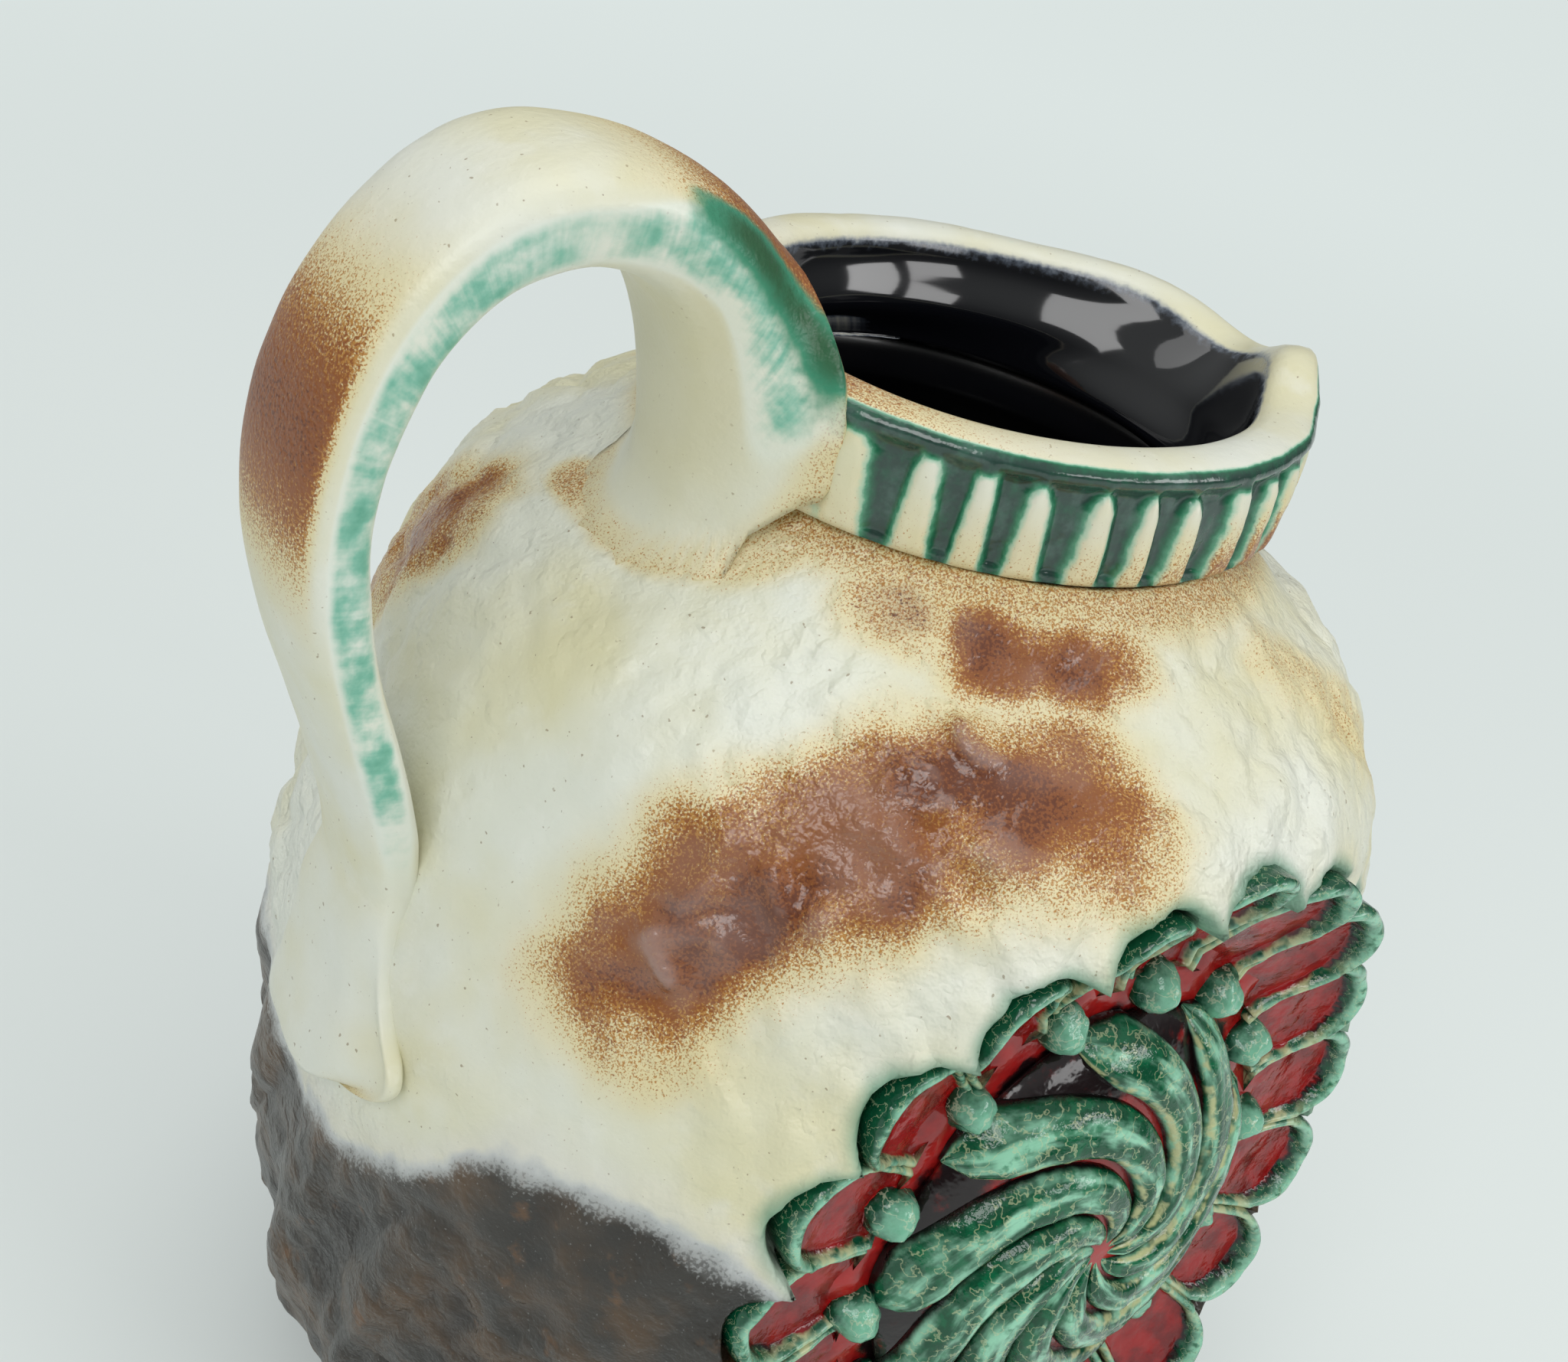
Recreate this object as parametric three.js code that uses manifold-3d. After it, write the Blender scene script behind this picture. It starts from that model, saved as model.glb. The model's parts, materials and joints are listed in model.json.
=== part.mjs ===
// A ceramic jug with an arched strap handle, a fluted collar and a flower rosette.
// Millimetres, +Z up. The origin is the centre of the base, on the table.
// The handle is on -X, the pouring lip on +X, and the rosette faces about -Y.

import * as THREE from 'three';
import { mergeVertices } from 'three/addons/utils/BufferGeometryUtils.js';
import Module from 'manifold-3d';

const wasm = await Module();
wasm.setup();

// Gap between two pieces where one is fitted to the other
const fitGap = 0.3;

// Body: outside radii from the foot to the neck, and the rise from each one to the next
const footRadius = 60;
const lowerRise = 30;
const lowerRadius = 83;
const bellyRise = 74;
const bellyRadius = 94;
const upperRise = 50;
const upperRadius = 86;
const shoulderRise = 27;
const shoulderRadius = 75;
const throatRise = 15;
const throatRadius = 56;
const neckRise = 9;
const neckRadius = 46;
const wallThickness = 6;
const floorThickness = 8;
const floorCornerRadius = 10;
const bodySegments = 36;
const profileSteps = 24;

// Ridges dragged into the clay of the lower part, slanting as they rise
const ridgeCount = 22;
const ridgeHeight = 1.2;
const ridgeSlant = THREE.MathUtils.degToRad(0.23);
const ridgeFade = 28;
const ridgeRise = 4;
const ridgeSamples = 4;

// Coat of dark glaze poured into the body
const glazeThickness = 1;

// Collar: an oval ring that stands on the neck, drawn out to a lip over +X
const collarOverhang = 3.6;
const collarShift = 2.5;
const collarHeight = 19.3;
const rimThickness = 9.6;
const rimRounding = 2.5;
const ovalStretch = 3;
const fluteCount = 33;
const fluteDepth = 1.8;
const fluteSamples = 4;
const lipReach = 9;
const lipDip = 3;
const lipHalfAngle = THREE.MathUtils.degToRad(20);

// Handle: a strap that leaves the rim, arches out and comes down on the belly
const handleRise = 26;
const handleReach = 21.5;
const handleWidth = 26;
const handleTopThickness = 13.5;
const handleSideThickness = 10.5;
const handleRootWidth = 43;
const handleRootLift = 2;
const handleRootSink = 6;
const handleFootWidth = 34;
const handleFootLength = 33;
const handleFootRise = 1;
const handleFootProud = 7;
const handleFootSink = 4;
const handleArchDrop = 46;
const handleCrownOffset = 32;
const handleSteps = 28;
const handleSides = 14;

// Rosette: petals, beads and a whirl boss on a disc, sunk into the belly
const rosetteAngle = THREE.MathUtils.degToRad(-88.5);
const rosetteTilt = THREE.MathUtils.degToRad(2.4);
const rosetteRise = 1.5;
const rosetteRadius = 68;
const rosetteOval = 3.5;
const seatSink = 24;
const swellHeight = 3.5;
const swellFade = 15;
const groundThickness = 2;
const petalCount = 19;
const petalPhase = THREE.MathUtils.degToRad(11.4);
const petalLength = 21;
const petalHeight = 5.5;
const petalTipRise = 7.4;
const petalSaddle = 6.2;
const petalGap = 0.6;
const bedReach = 8;
const petalDishDepth = 2.8;
const petalRimWidth = 2.2;
const beadCount = 14;
const beadPhase = THREE.MathUtils.degToRad(9);
const beadBand = 9;
const beadClearance = 0.7;
const beadHeight = 5;
const bossHeight = 11;
const ribCount = 9;
const ribTwist = THREE.MathUtils.degToRad(75);
const ribPhase = THREE.MathUtils.degToRad(12);
const ribInnerRadius = 6;
const ribEdgeMargin = 3.5;
const ribProud = 3;
const ribSteps = 9;
const ribSides = 6;

// Facets of the small pieces
const petalTipSegments = 4;
const dishSegments = 10;
const dishRings = 6;
const beadSegments = 8;
const beadRings = 3;
const bossSegments = 27;
const bossRings = 5;

// Shape shares, without a unit
const handleSquareness = 4;
const archEase = 0.58;
const dropEase = 0.35;
const footLean = 0.2;
const rootLean = 0.22;
const rootSteep = 0.67;
const rootSpread = 0.2;
const footCentre = 0.92;
const footSpread = 0.12;
const footRoundShare = 0.07;
const fluteFoot = 0.1;
const fluteHead = 0.85;
const petalFootShare = 0.6;
const bedOverlap = 1.02;
const bossSoftness = 0.6;
const ribEndShare = 0.55;

// Sizes that follow from the ones above
const bellyHeight = lowerRise + bellyRise;
const upperHeight = bellyHeight + upperRise;
const ridgeTop = bellyHeight + ridgeRise;
const shoulderHeight = upperHeight + shoulderRise;
const throatHeight = shoulderHeight + throatRise;
const neckHeight = throatHeight + neckRise;
const handleFootEnd = bellyHeight + handleFootRise;
const handleFootTop = handleFootEnd + handleFootLength;
const collarBottom = neckHeight + fitGap;
const rimHeight = collarBottom + collarHeight;
const collarRadius = neckRadius + collarOverhang;
const mouthRadius = collarRadius - rimThickness;
const seatDistance = bellyRadius - seatSink;
const rosetteHeight = bellyHeight + rosetteRise;
const petalInnerRadius = rosetteRadius - petalLength;
const groundRadius = petalInnerRadius - fitGap;
const pocketRadius = petalInnerRadius / Math.cos(Math.PI / petalCount) + fitGap;
const bedRadius = rosetteRadius + bedReach;
const petalAngles = anglesAround(petalCount, petalPhase);
const bossRadius = petalInnerRadius - beadBand;
const beadCircleRadius = (bossRadius + petalInnerRadius) / 2;
const beadRadius = beadBand / 2 - beadClearance;

// Evenly spaced angles round the rosette's axis
function anglesAround(count, phase) {
  return Array.from({ length: count }, (_, i) => phase + (2 * Math.PI * i) / count);
}

// Solids and geometries

function signedVolume(geometry) {
  const index = geometry.index.array;
  const position = geometry.attributes.position;
  const corner = [new THREE.Vector3(), new THREE.Vector3(), new THREE.Vector3()];
  let total = 0;
  for (let i = 0; i < index.length; i += 3) {
    corner.forEach((point, k) => point.fromBufferAttribute(position, index[i + k]));
    total += corner[0].dot(corner[1].clone().cross(corner[2])) / 6;
  }
  return total;
}

function weld(geometry) {
  const bare = new THREE.BufferGeometry();
  bare.setAttribute('position', geometry.attributes.position.clone());
  if (geometry.index) bare.setIndex(geometry.index.clone());
  const welded = mergeVertices(bare, 1e-4);
  if (signedVolume(welded) < 0) {
    const index = welded.index.array;
    for (let i = 0; i < index.length; i += 3) [index[i], index[i + 1]] = [index[i + 1], index[i]];
  }
  return welded;
}

function toSolid(geometry) {
  const welded = weld(geometry);
  const triangles = [];
  const index = welded.index.array;
  for (let i = 0; i < index.length; i += 3) {
    const [a, b, c] = [index[i], index[i + 1], index[i + 2]];
    if (a !== b && b !== c && c !== a) triangles.push(a, b, c);
  }
  return new wasm.Manifold(new wasm.Mesh({
    numProp: 3,
    vertProperties: new Float32Array(welded.attributes.position.array),
    triVerts: new Uint32Array(triangles),
  }));
}

function toGeometry(solid) {
  const mesh = solid.getMesh();
  const geometry = new THREE.BufferGeometry();
  geometry.setAttribute('position', new THREE.BufferAttribute(mesh.vertProperties, 3));
  geometry.setIndex(new THREE.BufferAttribute(mesh.triVerts, 1));
  geometry.computeVertexNormals();
  return geometry;
}

// A cut can leave crumbs behind, so only the main piece is kept
function mainPiece(solid) {
  const pieces = solid.decompose();
  return pieces.reduce((best, piece) => (piece.volume() > best.volume() ? piece : best));
}

function movePoints(geometry, move) {
  const position = geometry.attributes.position;
  const point = new THREE.Vector3();
  for (let i = 0; i < position.count; i += 1) {
    point.fromBufferAttribute(position, i);
    move(point);
    position.setXYZ(i, point.x, point.y, point.z);
  }
  return geometry;
}

// Turns a profile of (radius, height) points about Z
function turn(profile, segments) {
  return new THREE.LatheGeometry(profile, segments).rotateX(Math.PI / 2);
}

// Extrudes an outline of unit size and lays each of its points along a path by the given rule
function sweep(outline, steps, place) {
  const shape = new THREE.Shape(outline);
  const straight = new THREE.ExtrudeGeometry(shape, { depth: 1, steps, bevelEnabled: false });
  return movePoints(straight, (point) => point.copy(place(point.x, point.y, point.z)));
}

// Outline of a rounded box from -1 to 1 each way
function roundedBox(sides, squareness) {
  const soften = (value) => Math.sign(value) * Math.abs(value) ** (2 / squareness);
  return Array.from({ length: sides }, (_, i) => {
    const angle = (2 * Math.PI * (i + 0.5)) / sides;
    return new THREE.Vector2(soften(Math.cos(angle)), soften(Math.sin(angle)));
  });
}

const { lerp, smoothstep } = THREE.MathUtils;

// Bell curve that is 1 at zero
function bell(value) {
  return Math.exp(-value * value);
}

// Body

const bodyCurve = new THREE.SplineCurve([
  new THREE.Vector2(footRadius, 0),
  new THREE.Vector2(lowerRadius, lowerRise),
  new THREE.Vector2(bellyRadius, bellyHeight),
  new THREE.Vector2(upperRadius, upperHeight),
  new THREE.Vector2(shoulderRadius, shoulderHeight),
  new THREE.Vector2(throatRadius, throatHeight),
  new THREE.Vector2(neckRadius, neckHeight),
]);

function offsetProfile(distance) {
  return Array.from({ length: profileSteps + 1 }, (_, i) => {
    const along = i / profileSteps;
    const point = bodyCurve.getPoint(along);
    const tangent = bodyCurve.getTangent(along);
    return new THREE.Vector2(point.x + distance * tangent.y, point.y - distance * tangent.x);
  });
}

function bodyRadiusAt(height) {
  const profile = bodyCurve.getPoints(profileSteps * 4);
  const above = profile.findIndex((point) => point.y >= height);
  const high = profile[Math.max(above, 1)];
  const low = profile[Math.max(above, 1) - 1];
  return THREE.MathUtils.mapLinear(height, low.y, high.y, low.x, high.x);
}

// The rosette's frame: x across, y up, z out from the flat seat that it is sunk to
const rosetteOut = new THREE.Vector3(Math.cos(rosetteAngle), Math.sin(rosetteAngle), 0);
const up = new THREE.Vector3(0, 0, 1);
const rosetteFrame = new THREE.Matrix4()
  .makeBasis(up.clone().cross(rosetteOut), up, rosetteOut)
  .multiply(new THREE.Matrix4().makeRotationX(-rosetteTilt))
  .setPosition(rosetteOut.clone().multiplyScalar(seatDistance).setZ(rosetteHeight));

// The ring is a little taller than it is wide
function ovalled(geometry) {
  const share = rosetteOval / rosetteRadius;
  return geometry.scale(1 - share, 1 + share, 1);
}

// How close a point of the belly is to the rosette: 1 under it, fading to 0 round it
function nearRosette(point) {
  const place = point.clone().applyMatrix4(rosetteFrame.clone().invert());
  const share = rosetteOval / rosetteRadius;
  const distance = Math.hypot(place.x / (1 - share), place.y / (1 + share));
  const facing = point.dot(rosetteOut) > 0;
  return facing ? bell(Math.max(0, distance - rosetteRadius) / swellFade) : 0;
}

// How far the dragged ridges stand out at a point: a wave round the body that turns with the height
function ridgeAt(point) {
  const angle = Math.atan2(point.y, point.x);
  const zone = smoothstep(point.z, 0, ridgeFade) * (1 - smoothstep(point.z, ridgeTop - ridgeFade, ridgeTop));
  return ridgeHeight * zone * Math.cos(ridgeCount * (angle - ridgeSlant * point.z));
}

// Works the turned body: ridges on its lower part, and a swell that the petals lie on
function worked(point) {
  const near = nearRosette(point);
  const outward = new THREE.Vector3(point.x, point.y, 0).normalize();
  point.addScaledVector(outward, ridgeAt(point) * (1 - near));
  return point.addScaledVector(rosetteOut, swellHeight * near);
}

// The outside of the body, grown by a distance, as a filled form
function bodyForm(grown) {
  const profile = offsetProfile(grown);
  const top = profile[profile.length - 1];
  const start = new THREE.Vector2(0, profile[0].y);
  const round = turn([start, ...profile, new THREE.Vector2(0, top.y)], ridgeCount * ridgeSamples);
  return toSolid(movePoints(round, worked));
}

// A disc about the rosette's axis, between two heights over its seat
function rosetteDisc(radius, from, to) {
  const disc = new THREE.CylinderGeometry(radius, radius, to - from, bodySegments);
  disc.rotateX(Math.PI / 2).translate(0, 0, (from + to) / 2);
  return toSolid(ovalled(disc).applyMatrix4(rosetteFrame));
}

// How far a petal's tip stands out from the seat: the belly falls away to both sides
function tipRise(angle) {
  return petalTipRise - petalSaddle * Math.cos(2 * angle);
}

// Leans a piece that lies along +X so that it climbs to its petal's tip, and turns it into place
function leaned(geometry, angle) {
  movePoints(geometry, (point) => {
    const share = (point.x - petalInnerRadius) / petalLength;
    point.z += tipRise(angle) * share;
  });
  return ovalled(geometry.rotateZ(angle));
}

// The hollow of the body, its walls moved in from the outside by a distance
function hollowForm(inset, floor, top) {
  const wall = offsetProfile(-inset).filter((point) => point.y > floor + floorCornerRadius && point.y < top);
  const first = wall[0];
  const last = wall[wall.length - 1];
  const profile = [
    new THREE.Vector2(0, floor),
    new THREE.Vector2(first.x - floorCornerRadius, floor),
    ...wall,
    new THREE.Vector2(last.x, top),
    new THREE.Vector2(0, top),
  ];
  const behindSeat = rosetteDisc(bedRadius + inset, -inset, bellyRadius);
  return toSolid(turn(profile, bodySegments)).subtract(behindSeat);
}

// The bed that a petal lies on, as a wedge that is cut from the belly
function bedForm(angle) {
  const half = (bedOverlap * Math.PI) / petalCount;
  const corner = (radius, side) => new THREE.Vector2(radius, side * radius * Math.tan(half));
  const inner = petalInnerRadius;
  const outline = [corner(inner, -1), corner(bedRadius, -1), corner(bedRadius, 1), corner(inner, 1)];
  const upright = { depth: bellyRadius, bevelEnabled: false };
  const wedge = new THREE.ExtrudeGeometry(new THREE.Shape(outline), upright);
  return toSolid(leaned(wedge, angle).applyMatrix4(rosetteFrame));
}

function makeBody() {
  const hollow = hollowForm(wallThickness, floorThickness, rimHeight);
  const pocket = rosetteDisc(pocketRadius, 0, bellyRadius);
  const sunk = bodyForm(0).subtract(hollow).subtract(pocket);
  return toGeometry(petalAngles.reduce((solid, angle) => solid.subtract(bedForm(angle)), sunk));
}

function makeInnerGlaze() {
  const outside = wallThickness + fitGap;
  const coat = hollowForm(outside, floorThickness + fitGap, neckHeight);
  const space = hollowForm(outside + glazeThickness, floorThickness + fitGap + glazeThickness, rimHeight);
  return toGeometry(coat.subtract(space));
}

// Collar

// Shares of a collar point that belong to the oval, the lip and the flutes
function shapeCollar(point, flutes) {
  const angle = Math.atan2(point.y, point.x);
  const radius = Math.hypot(point.x, point.y);
  const rise = (point.z - collarBottom) / collarHeight;
  const lip = bell(angle / lipHalfAngle);
  const onWall = radius > collarRadius - rimRounding / 2 && rise > fluteFoot && rise < fluteHead;
  const groove = flutes && onWall ? fluteDepth * (1 - Math.cos(fluteCount * angle)) / 2 : 0;
  const grown = radius + ovalStretch * Math.cos(2 * angle) + lipReach * lip * rise ** 2 - groove;
  const lowered = lipDip * lip ** 3 * Math.max(rise, 0) ** 3;
  return point.set(grown * Math.cos(angle) + collarShift, grown * Math.sin(angle), point.z - lowered);
}

function collarForm(grown, flutes) {
  const outside = collarRadius + grown;
  const bottom = collarBottom - grown;
  const top = rimHeight + grown;
  const profile = [
    new THREE.Vector2(mouthRadius, bottom),
    new THREE.Vector2(outside - rimRounding / 2, bottom),
    new THREE.Vector2(outside, bottom + rimRounding),
    new THREE.Vector2(outside, top - 1.4 * rimRounding),
    new THREE.Vector2(outside - rimRounding, top - rimRounding / 4),
    new THREE.Vector2(outside - rimThickness / 2, top),
    new THREE.Vector2(mouthRadius + rimRounding, top - rimRounding / 4),
    new THREE.Vector2(mouthRadius, top - 1.4 * rimRounding),
    new THREE.Vector2(mouthRadius, bottom),
  ];
  const ring = turn(profile, fluteCount * fluteSamples);
  return toSolid(movePoints(ring, (point) => shapeCollar(point, flutes)));
}

function makeCollar() {
  return toGeometry(collarForm(0, true));
}

// Handle

// A curve in the plane of the handle from points of (distance out, height)
function archCurve(pieces) {
  const path = new THREE.CurvePath();
  pieces.forEach((points) => {
    const corners = points.map(([out, height]) => new THREE.Vector3(-out, 0, height));
    path.add(new THREE.CubicBezierCurve3(...corners));
  });
  return path;
}

// Point of the n-th quarter of a path, so that the crown and the underside stay paired
function pairedPoint(path, along) {
  const scaled = Math.min(along, 1) * path.curves.length;
  const number = Math.min(Math.floor(scaled), path.curves.length - 1);
  return path.curves[number].getPoint(scaled - number);
}

// A quarter round that starts level and ends upright
function quarterRound(from, to) {
  return [from, [lerp(from[0], to[0], archEase), from[1]], [to[0], lerp(to[1], from[1], archEase)], to];
}

// The way down from the side of the arch to the top of the foot
function dropCurve(from, to) {
  const lean = [lerp(to[0], from[0], footLean), lerp(to[1], from[1], dropEase)];
  return [from, [from[0], lerp(from[1], to[1], dropEase)], lean, to];
}

// The foot's line down the belly, at a distance from its surface
function footLine(distance) {
  return [0, 1 / 3, 2 / 3, 1].map((share) => {
    const height = lerp(handleFootTop, handleFootEnd, share);
    return [bodyRadiusAt(height) + distance, height];
  });
}

function crownCurve() {
  const root = [mouthRadius + ovalStretch - collarShift, rimHeight + handleRootLift];
  const top = [collarRadius + handleCrownOffset, rimHeight + handleRise];
  const side = [bellyRadius + handleReach, top[1] - handleArchDrop];
  const foot = footLine(handleFootProud);
  const leaving = [lerp(root[0], top[0], rootLean), lerp(root[1], top[1], rootSteep)];
  const rising = [root, leaving, [lerp(root[0], top[0], archEase), top[1]], top];
  return archCurve([rising, quarterRound(top, side), dropCurve(side, foot[0]), foot]);
}

function undersideCurve() {
  const root = [bodyRadiusAt(throatHeight) - handleRootSink, throatHeight - handleRootSink];
  const top = [collarRadius + handleCrownOffset, rimHeight + handleRise - handleTopThickness];
  const side = [bellyRadius + handleReach - handleSideThickness, rimHeight + handleRise - handleArchDrop];
  const foot = footLine(-handleFootSink);
  const leaving = [bodyRadiusAt(throatHeight) + handleRootSink, lerp(root[1], top[1], archEase)];
  const rising = [root, leaving, [lerp(root[0], top[0], 1 - archEase), top[1]], top];
  return archCurve([rising, quarterRound(top, side), dropCurve(side, foot[0]), foot]);
}

function handleWidthAt(along) {
  const root = bell(along / rootSpread) * (handleRootWidth - handleWidth);
  const foot = bell((along - footCentre) / footSpread) * (handleFootWidth - handleWidth);
  const rounding = Math.max(0, 1 - (1 - along) / footRoundShare);
  return (handleWidth + root + foot) * Math.sqrt(1 - rounding ** 2 / 2);
}

function makeHandle() {
  const crown = crownCurve();
  const underside = undersideCurve();
  const strap = sweep(roundedBox(handleSides, handleSquareness), handleSteps, (across, through, along) => {
    const outer = pairedPoint(crown, along);
    const inner = pairedPoint(underside, along);
    const point = inner.lerp(outer, (through + 1) / 2);
    return point.setY((across * handleWidthAt(along)) / 2);
  });
  const fitted = toSolid(strap).subtract(bodyForm(fitGap)).subtract(collarForm(fitGap, false));
  return toGeometry(mainPiece(fitted));
}

// Rosette pieces, in the frame of the rosette

const groundTop = fitGap + groundThickness;
const pieceBase = groundTop + fitGap;

function makeGround() {
  const disc = new THREE.CylinderGeometry(groundRadius, groundRadius, groundThickness, bodySegments);
  return weld(ovalled(disc.rotateX(Math.PI / 2).translate(0, 0, fitGap + groundThickness / 2)));
}

// A spoon-shaped petal along +X with a raised rim round its outer end
function makePetal() {
  const inner = petalInnerRadius;
  const step = (2 * Math.PI) / petalCount;
  const tipRadius = (rosetteRadius * Math.tan(step / 2) - petalGap / 2) / (1 + Math.tan(step / 2));
  const tipCentre = rosetteRadius - tipRadius;
  const innerHalf = inner * Math.tan(step / 2) - petalGap;
  const outline = new THREE.Shape();
  outline.moveTo(inner, innerHalf);
  outline.lineTo(inner, -innerHalf);
  outline.lineTo(tipCentre, -tipRadius);
  outline.absarc(tipCentre, 0, tipRadius, -Math.PI / 2, Math.PI / 2);
  outline.lineTo(inner, innerHalf);
  const block = new THREE.ExtrudeGeometry(outline, {
    depth: petalHeight,
    curveSegments: petalTipSegments,
    bevelEnabled: false,
  });
  const dish = new THREE.SphereGeometry(1, dishSegments, dishRings);
  dish.scale(petalLength - 2 * petalRimWidth, tipRadius - petalRimWidth, petalDishDepth);
  dish.translate(inner + petalRimWidth, 0, petalHeight);
  const petal = toGeometry(toSolid(block).subtract(toSolid(dish)));
  return movePoints(petal, (point) => {
    const share = (point.x - inner) / petalLength;
    point.z = fitGap + point.z * lerp(petalFootShare, 1, share);
  });
}

function makeBead() {
  const points = [new THREE.Vector2(0, pieceBase)];
  for (let i = 0; i <= beadRings; i += 1) {
    const angle = (i * Math.PI) / (2 * beadRings);
    points.push(new THREE.Vector2(beadRadius * Math.cos(angle), pieceBase + beadHeight * Math.sin(angle)));
  }
  return weld(turn(points, beadSegments).translate(beadCircleRadius, 0, 0));
}

function bossSurface(radius) {
  const share = Math.min(radius / bossRadius, 1);
  return pieceBase + bossHeight * (1 - share ** 2) ** bossSoftness;
}

function bossForm(grown) {
  const points = [new THREE.Vector2(0, pieceBase - grown)];
  for (let i = 0; i <= bossRings; i += 1) {
    const radius = bossRadius * Math.cos((i * Math.PI) / (2 * bossRings));
    const outward = grown * (radius / bossRadius);
    points.push(new THREE.Vector2(radius + outward, bossSurface(radius) + grown));
  }
  return toSolid(turn(points, bossSegments));
}

// A rib that climbs the boss in a spiral, thickest half way out
function makeRib() {
  const outer = bossRadius - ribEdgeMargin;
  const spacing = (2 * Math.PI) / ribCount;
  const rib = sweep(roundedBox(ribSides, 2), ribSteps, (across, through, along) => {
    const radius = lerp(ribInnerRadius, outer, along);
    const slope = (radius * ribTwist) / (outer - ribInnerRadius);
    const room = (radius * spacing) / Math.hypot(1, slope) / 2;
    const half = Math.min(room - fitGap, ribProud * (ribEndShare + Math.sin(Math.PI * along)));
    const lift = Math.min(half, ribProud);
    const angle = ribTwist * along + (across * half) / radius / Math.hypot(1, slope);
    const shifted = radius - (across * half * slope) / Math.hypot(1, slope);
    const height = bossSurface(shifted) + lift * through;
    return new THREE.Vector3(shifted * Math.cos(angle), shifted * Math.sin(angle), height);
  });
  return toGeometry(mainPiece(toSolid(rib).subtract(bossForm(fitGap))));
}

// Materials

function glaze(color, roughness) {
  return new THREE.MeshStandardMaterial({ color, roughness, metalness: 0 });
}

const creamGlaze = glaze(0xe4dcc4, 0.35);
const darkGlaze = glaze(0x0b0b0d, 0.08);
const collarGlaze = glaze(0x2f6b52, 0.2);
const handleGlaze = glaze(0xdcd3b6, 0.35);
const groundGlaze = glaze(0x8e1516, 0.15);
const petalGlaze = glaze(0x7a1f1e, 0.15);
const beadGlaze = glaze(0x3f9173, 0.15);
const ribGlaze = glaze(0x1f6a49, 0.15);

// Scene graph

function part(name, geometry, material) {
  const mesh = new THREE.Mesh(geometry, material);
  mesh.name = name;
  return mesh;
}

function numbered(name, index) {
  return `${name}_${String(index + 1).padStart(2, '0')}`;
}

// Copies of a piece, each set at its angle round the rosette's axis by the given rule
function ring(name, geometry, material, angles, place) {
  const copies = new THREE.Group();
  angles.forEach((angle, i) => {
    const copy = place(geometry.clone(), angle);
    copy.computeVertexNormals();
    copies.add(part(numbered(name, i), copy, material));
  });
  return copies;
}

function turned(geometry, angle) {
  return ovalled(geometry.rotateZ(angle));
}

const rosette = new THREE.Group();
rosette.applyMatrix4(rosetteFrame);
rosette.add(
  part('rosette_ground', makeGround(), groundGlaze),
  ring('petal', makePetal(), petalGlaze, petalAngles, leaned),
  ring('bead', makeBead(), beadGlaze, anglesAround(beadCount, beadPhase), turned),
  part('whirl_boss', ovalled(toGeometry(bossForm(0))), groundGlaze),
  ring('whirl_rib', makeRib(), ribGlaze, anglesAround(ribCount, ribPhase), turned),
);

const jug = new THREE.Group();
jug.name = 'ceramic_jug';
jug.add(
  part('body', makeBody(), creamGlaze),
  part('inner_glaze', makeInnerGlaze(), darkGlaze),
  part('neck_collar', makeCollar(), collarGlaze),
  part('handle', makeHandle(), handleGlaze),
  rosette,
);

export default jug;
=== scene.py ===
# %% [markdown]
# A glazed ceramic jug: a beaten cream belly over a dark foot, a fluted green collar, a strap
# handle and a flower sunk into the front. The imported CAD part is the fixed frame. Every visible
# piece is worked out with numpy around it, in millimetres, and is put into Blender in metres.

# %% The frame
import json

import bpy
import numpy as np
from mathutils import Matrix

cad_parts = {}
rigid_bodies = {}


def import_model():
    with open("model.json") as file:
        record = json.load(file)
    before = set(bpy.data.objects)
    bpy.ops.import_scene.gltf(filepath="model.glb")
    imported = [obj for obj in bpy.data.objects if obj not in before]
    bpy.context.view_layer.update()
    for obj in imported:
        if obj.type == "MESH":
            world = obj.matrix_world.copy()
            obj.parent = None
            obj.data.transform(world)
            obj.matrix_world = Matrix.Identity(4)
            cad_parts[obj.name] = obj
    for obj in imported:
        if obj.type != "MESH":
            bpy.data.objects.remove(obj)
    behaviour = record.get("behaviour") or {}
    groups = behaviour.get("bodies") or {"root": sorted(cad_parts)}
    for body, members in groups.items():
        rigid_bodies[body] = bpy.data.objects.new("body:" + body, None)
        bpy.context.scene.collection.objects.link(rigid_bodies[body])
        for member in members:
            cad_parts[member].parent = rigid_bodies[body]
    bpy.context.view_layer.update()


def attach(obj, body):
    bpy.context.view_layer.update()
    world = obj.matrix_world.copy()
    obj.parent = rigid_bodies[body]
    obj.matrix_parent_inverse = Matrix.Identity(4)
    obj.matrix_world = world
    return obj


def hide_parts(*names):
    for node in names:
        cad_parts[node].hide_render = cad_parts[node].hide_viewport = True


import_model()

# %% [markdown]
# The photograph was taken from the front left and above, with the camera rolled by 17 degrees.
# A camera's axes are three unit vectors, so they are written straight into its matrix: the right
# side, the top and the way back. The picture is 2048 pixels wide, and the focal length is 2792.

# %% The camera
MM = 0.001
IMAGE_WIDTH = 2048
FOCAL_PIXELS = 2792
SENSOR = 36
CAMERA_PLACE = np.array([-224.4, -224.4, 332.0])
CAMERA_AIM = np.array([0.585, 0.646, -0.490])
CAMERA_ROLL = np.radians(17)


def unit(vector):
    """The vector divided by its own length."""
    return vector / np.linalg.norm(vector)


def camera_axes():
    """Right and up of a level camera, turned about the line of sight by the roll."""
    level_right = unit(np.cross(CAMERA_AIM, [0, 0, 1]))
    level_up = unit(np.cross(level_right, CAMERA_AIM))
    turn, lean = np.cos(CAMERA_ROLL), np.sin(CAMERA_ROLL)
    return turn * level_right + lean * level_up, turn * level_up - lean * level_right


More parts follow.
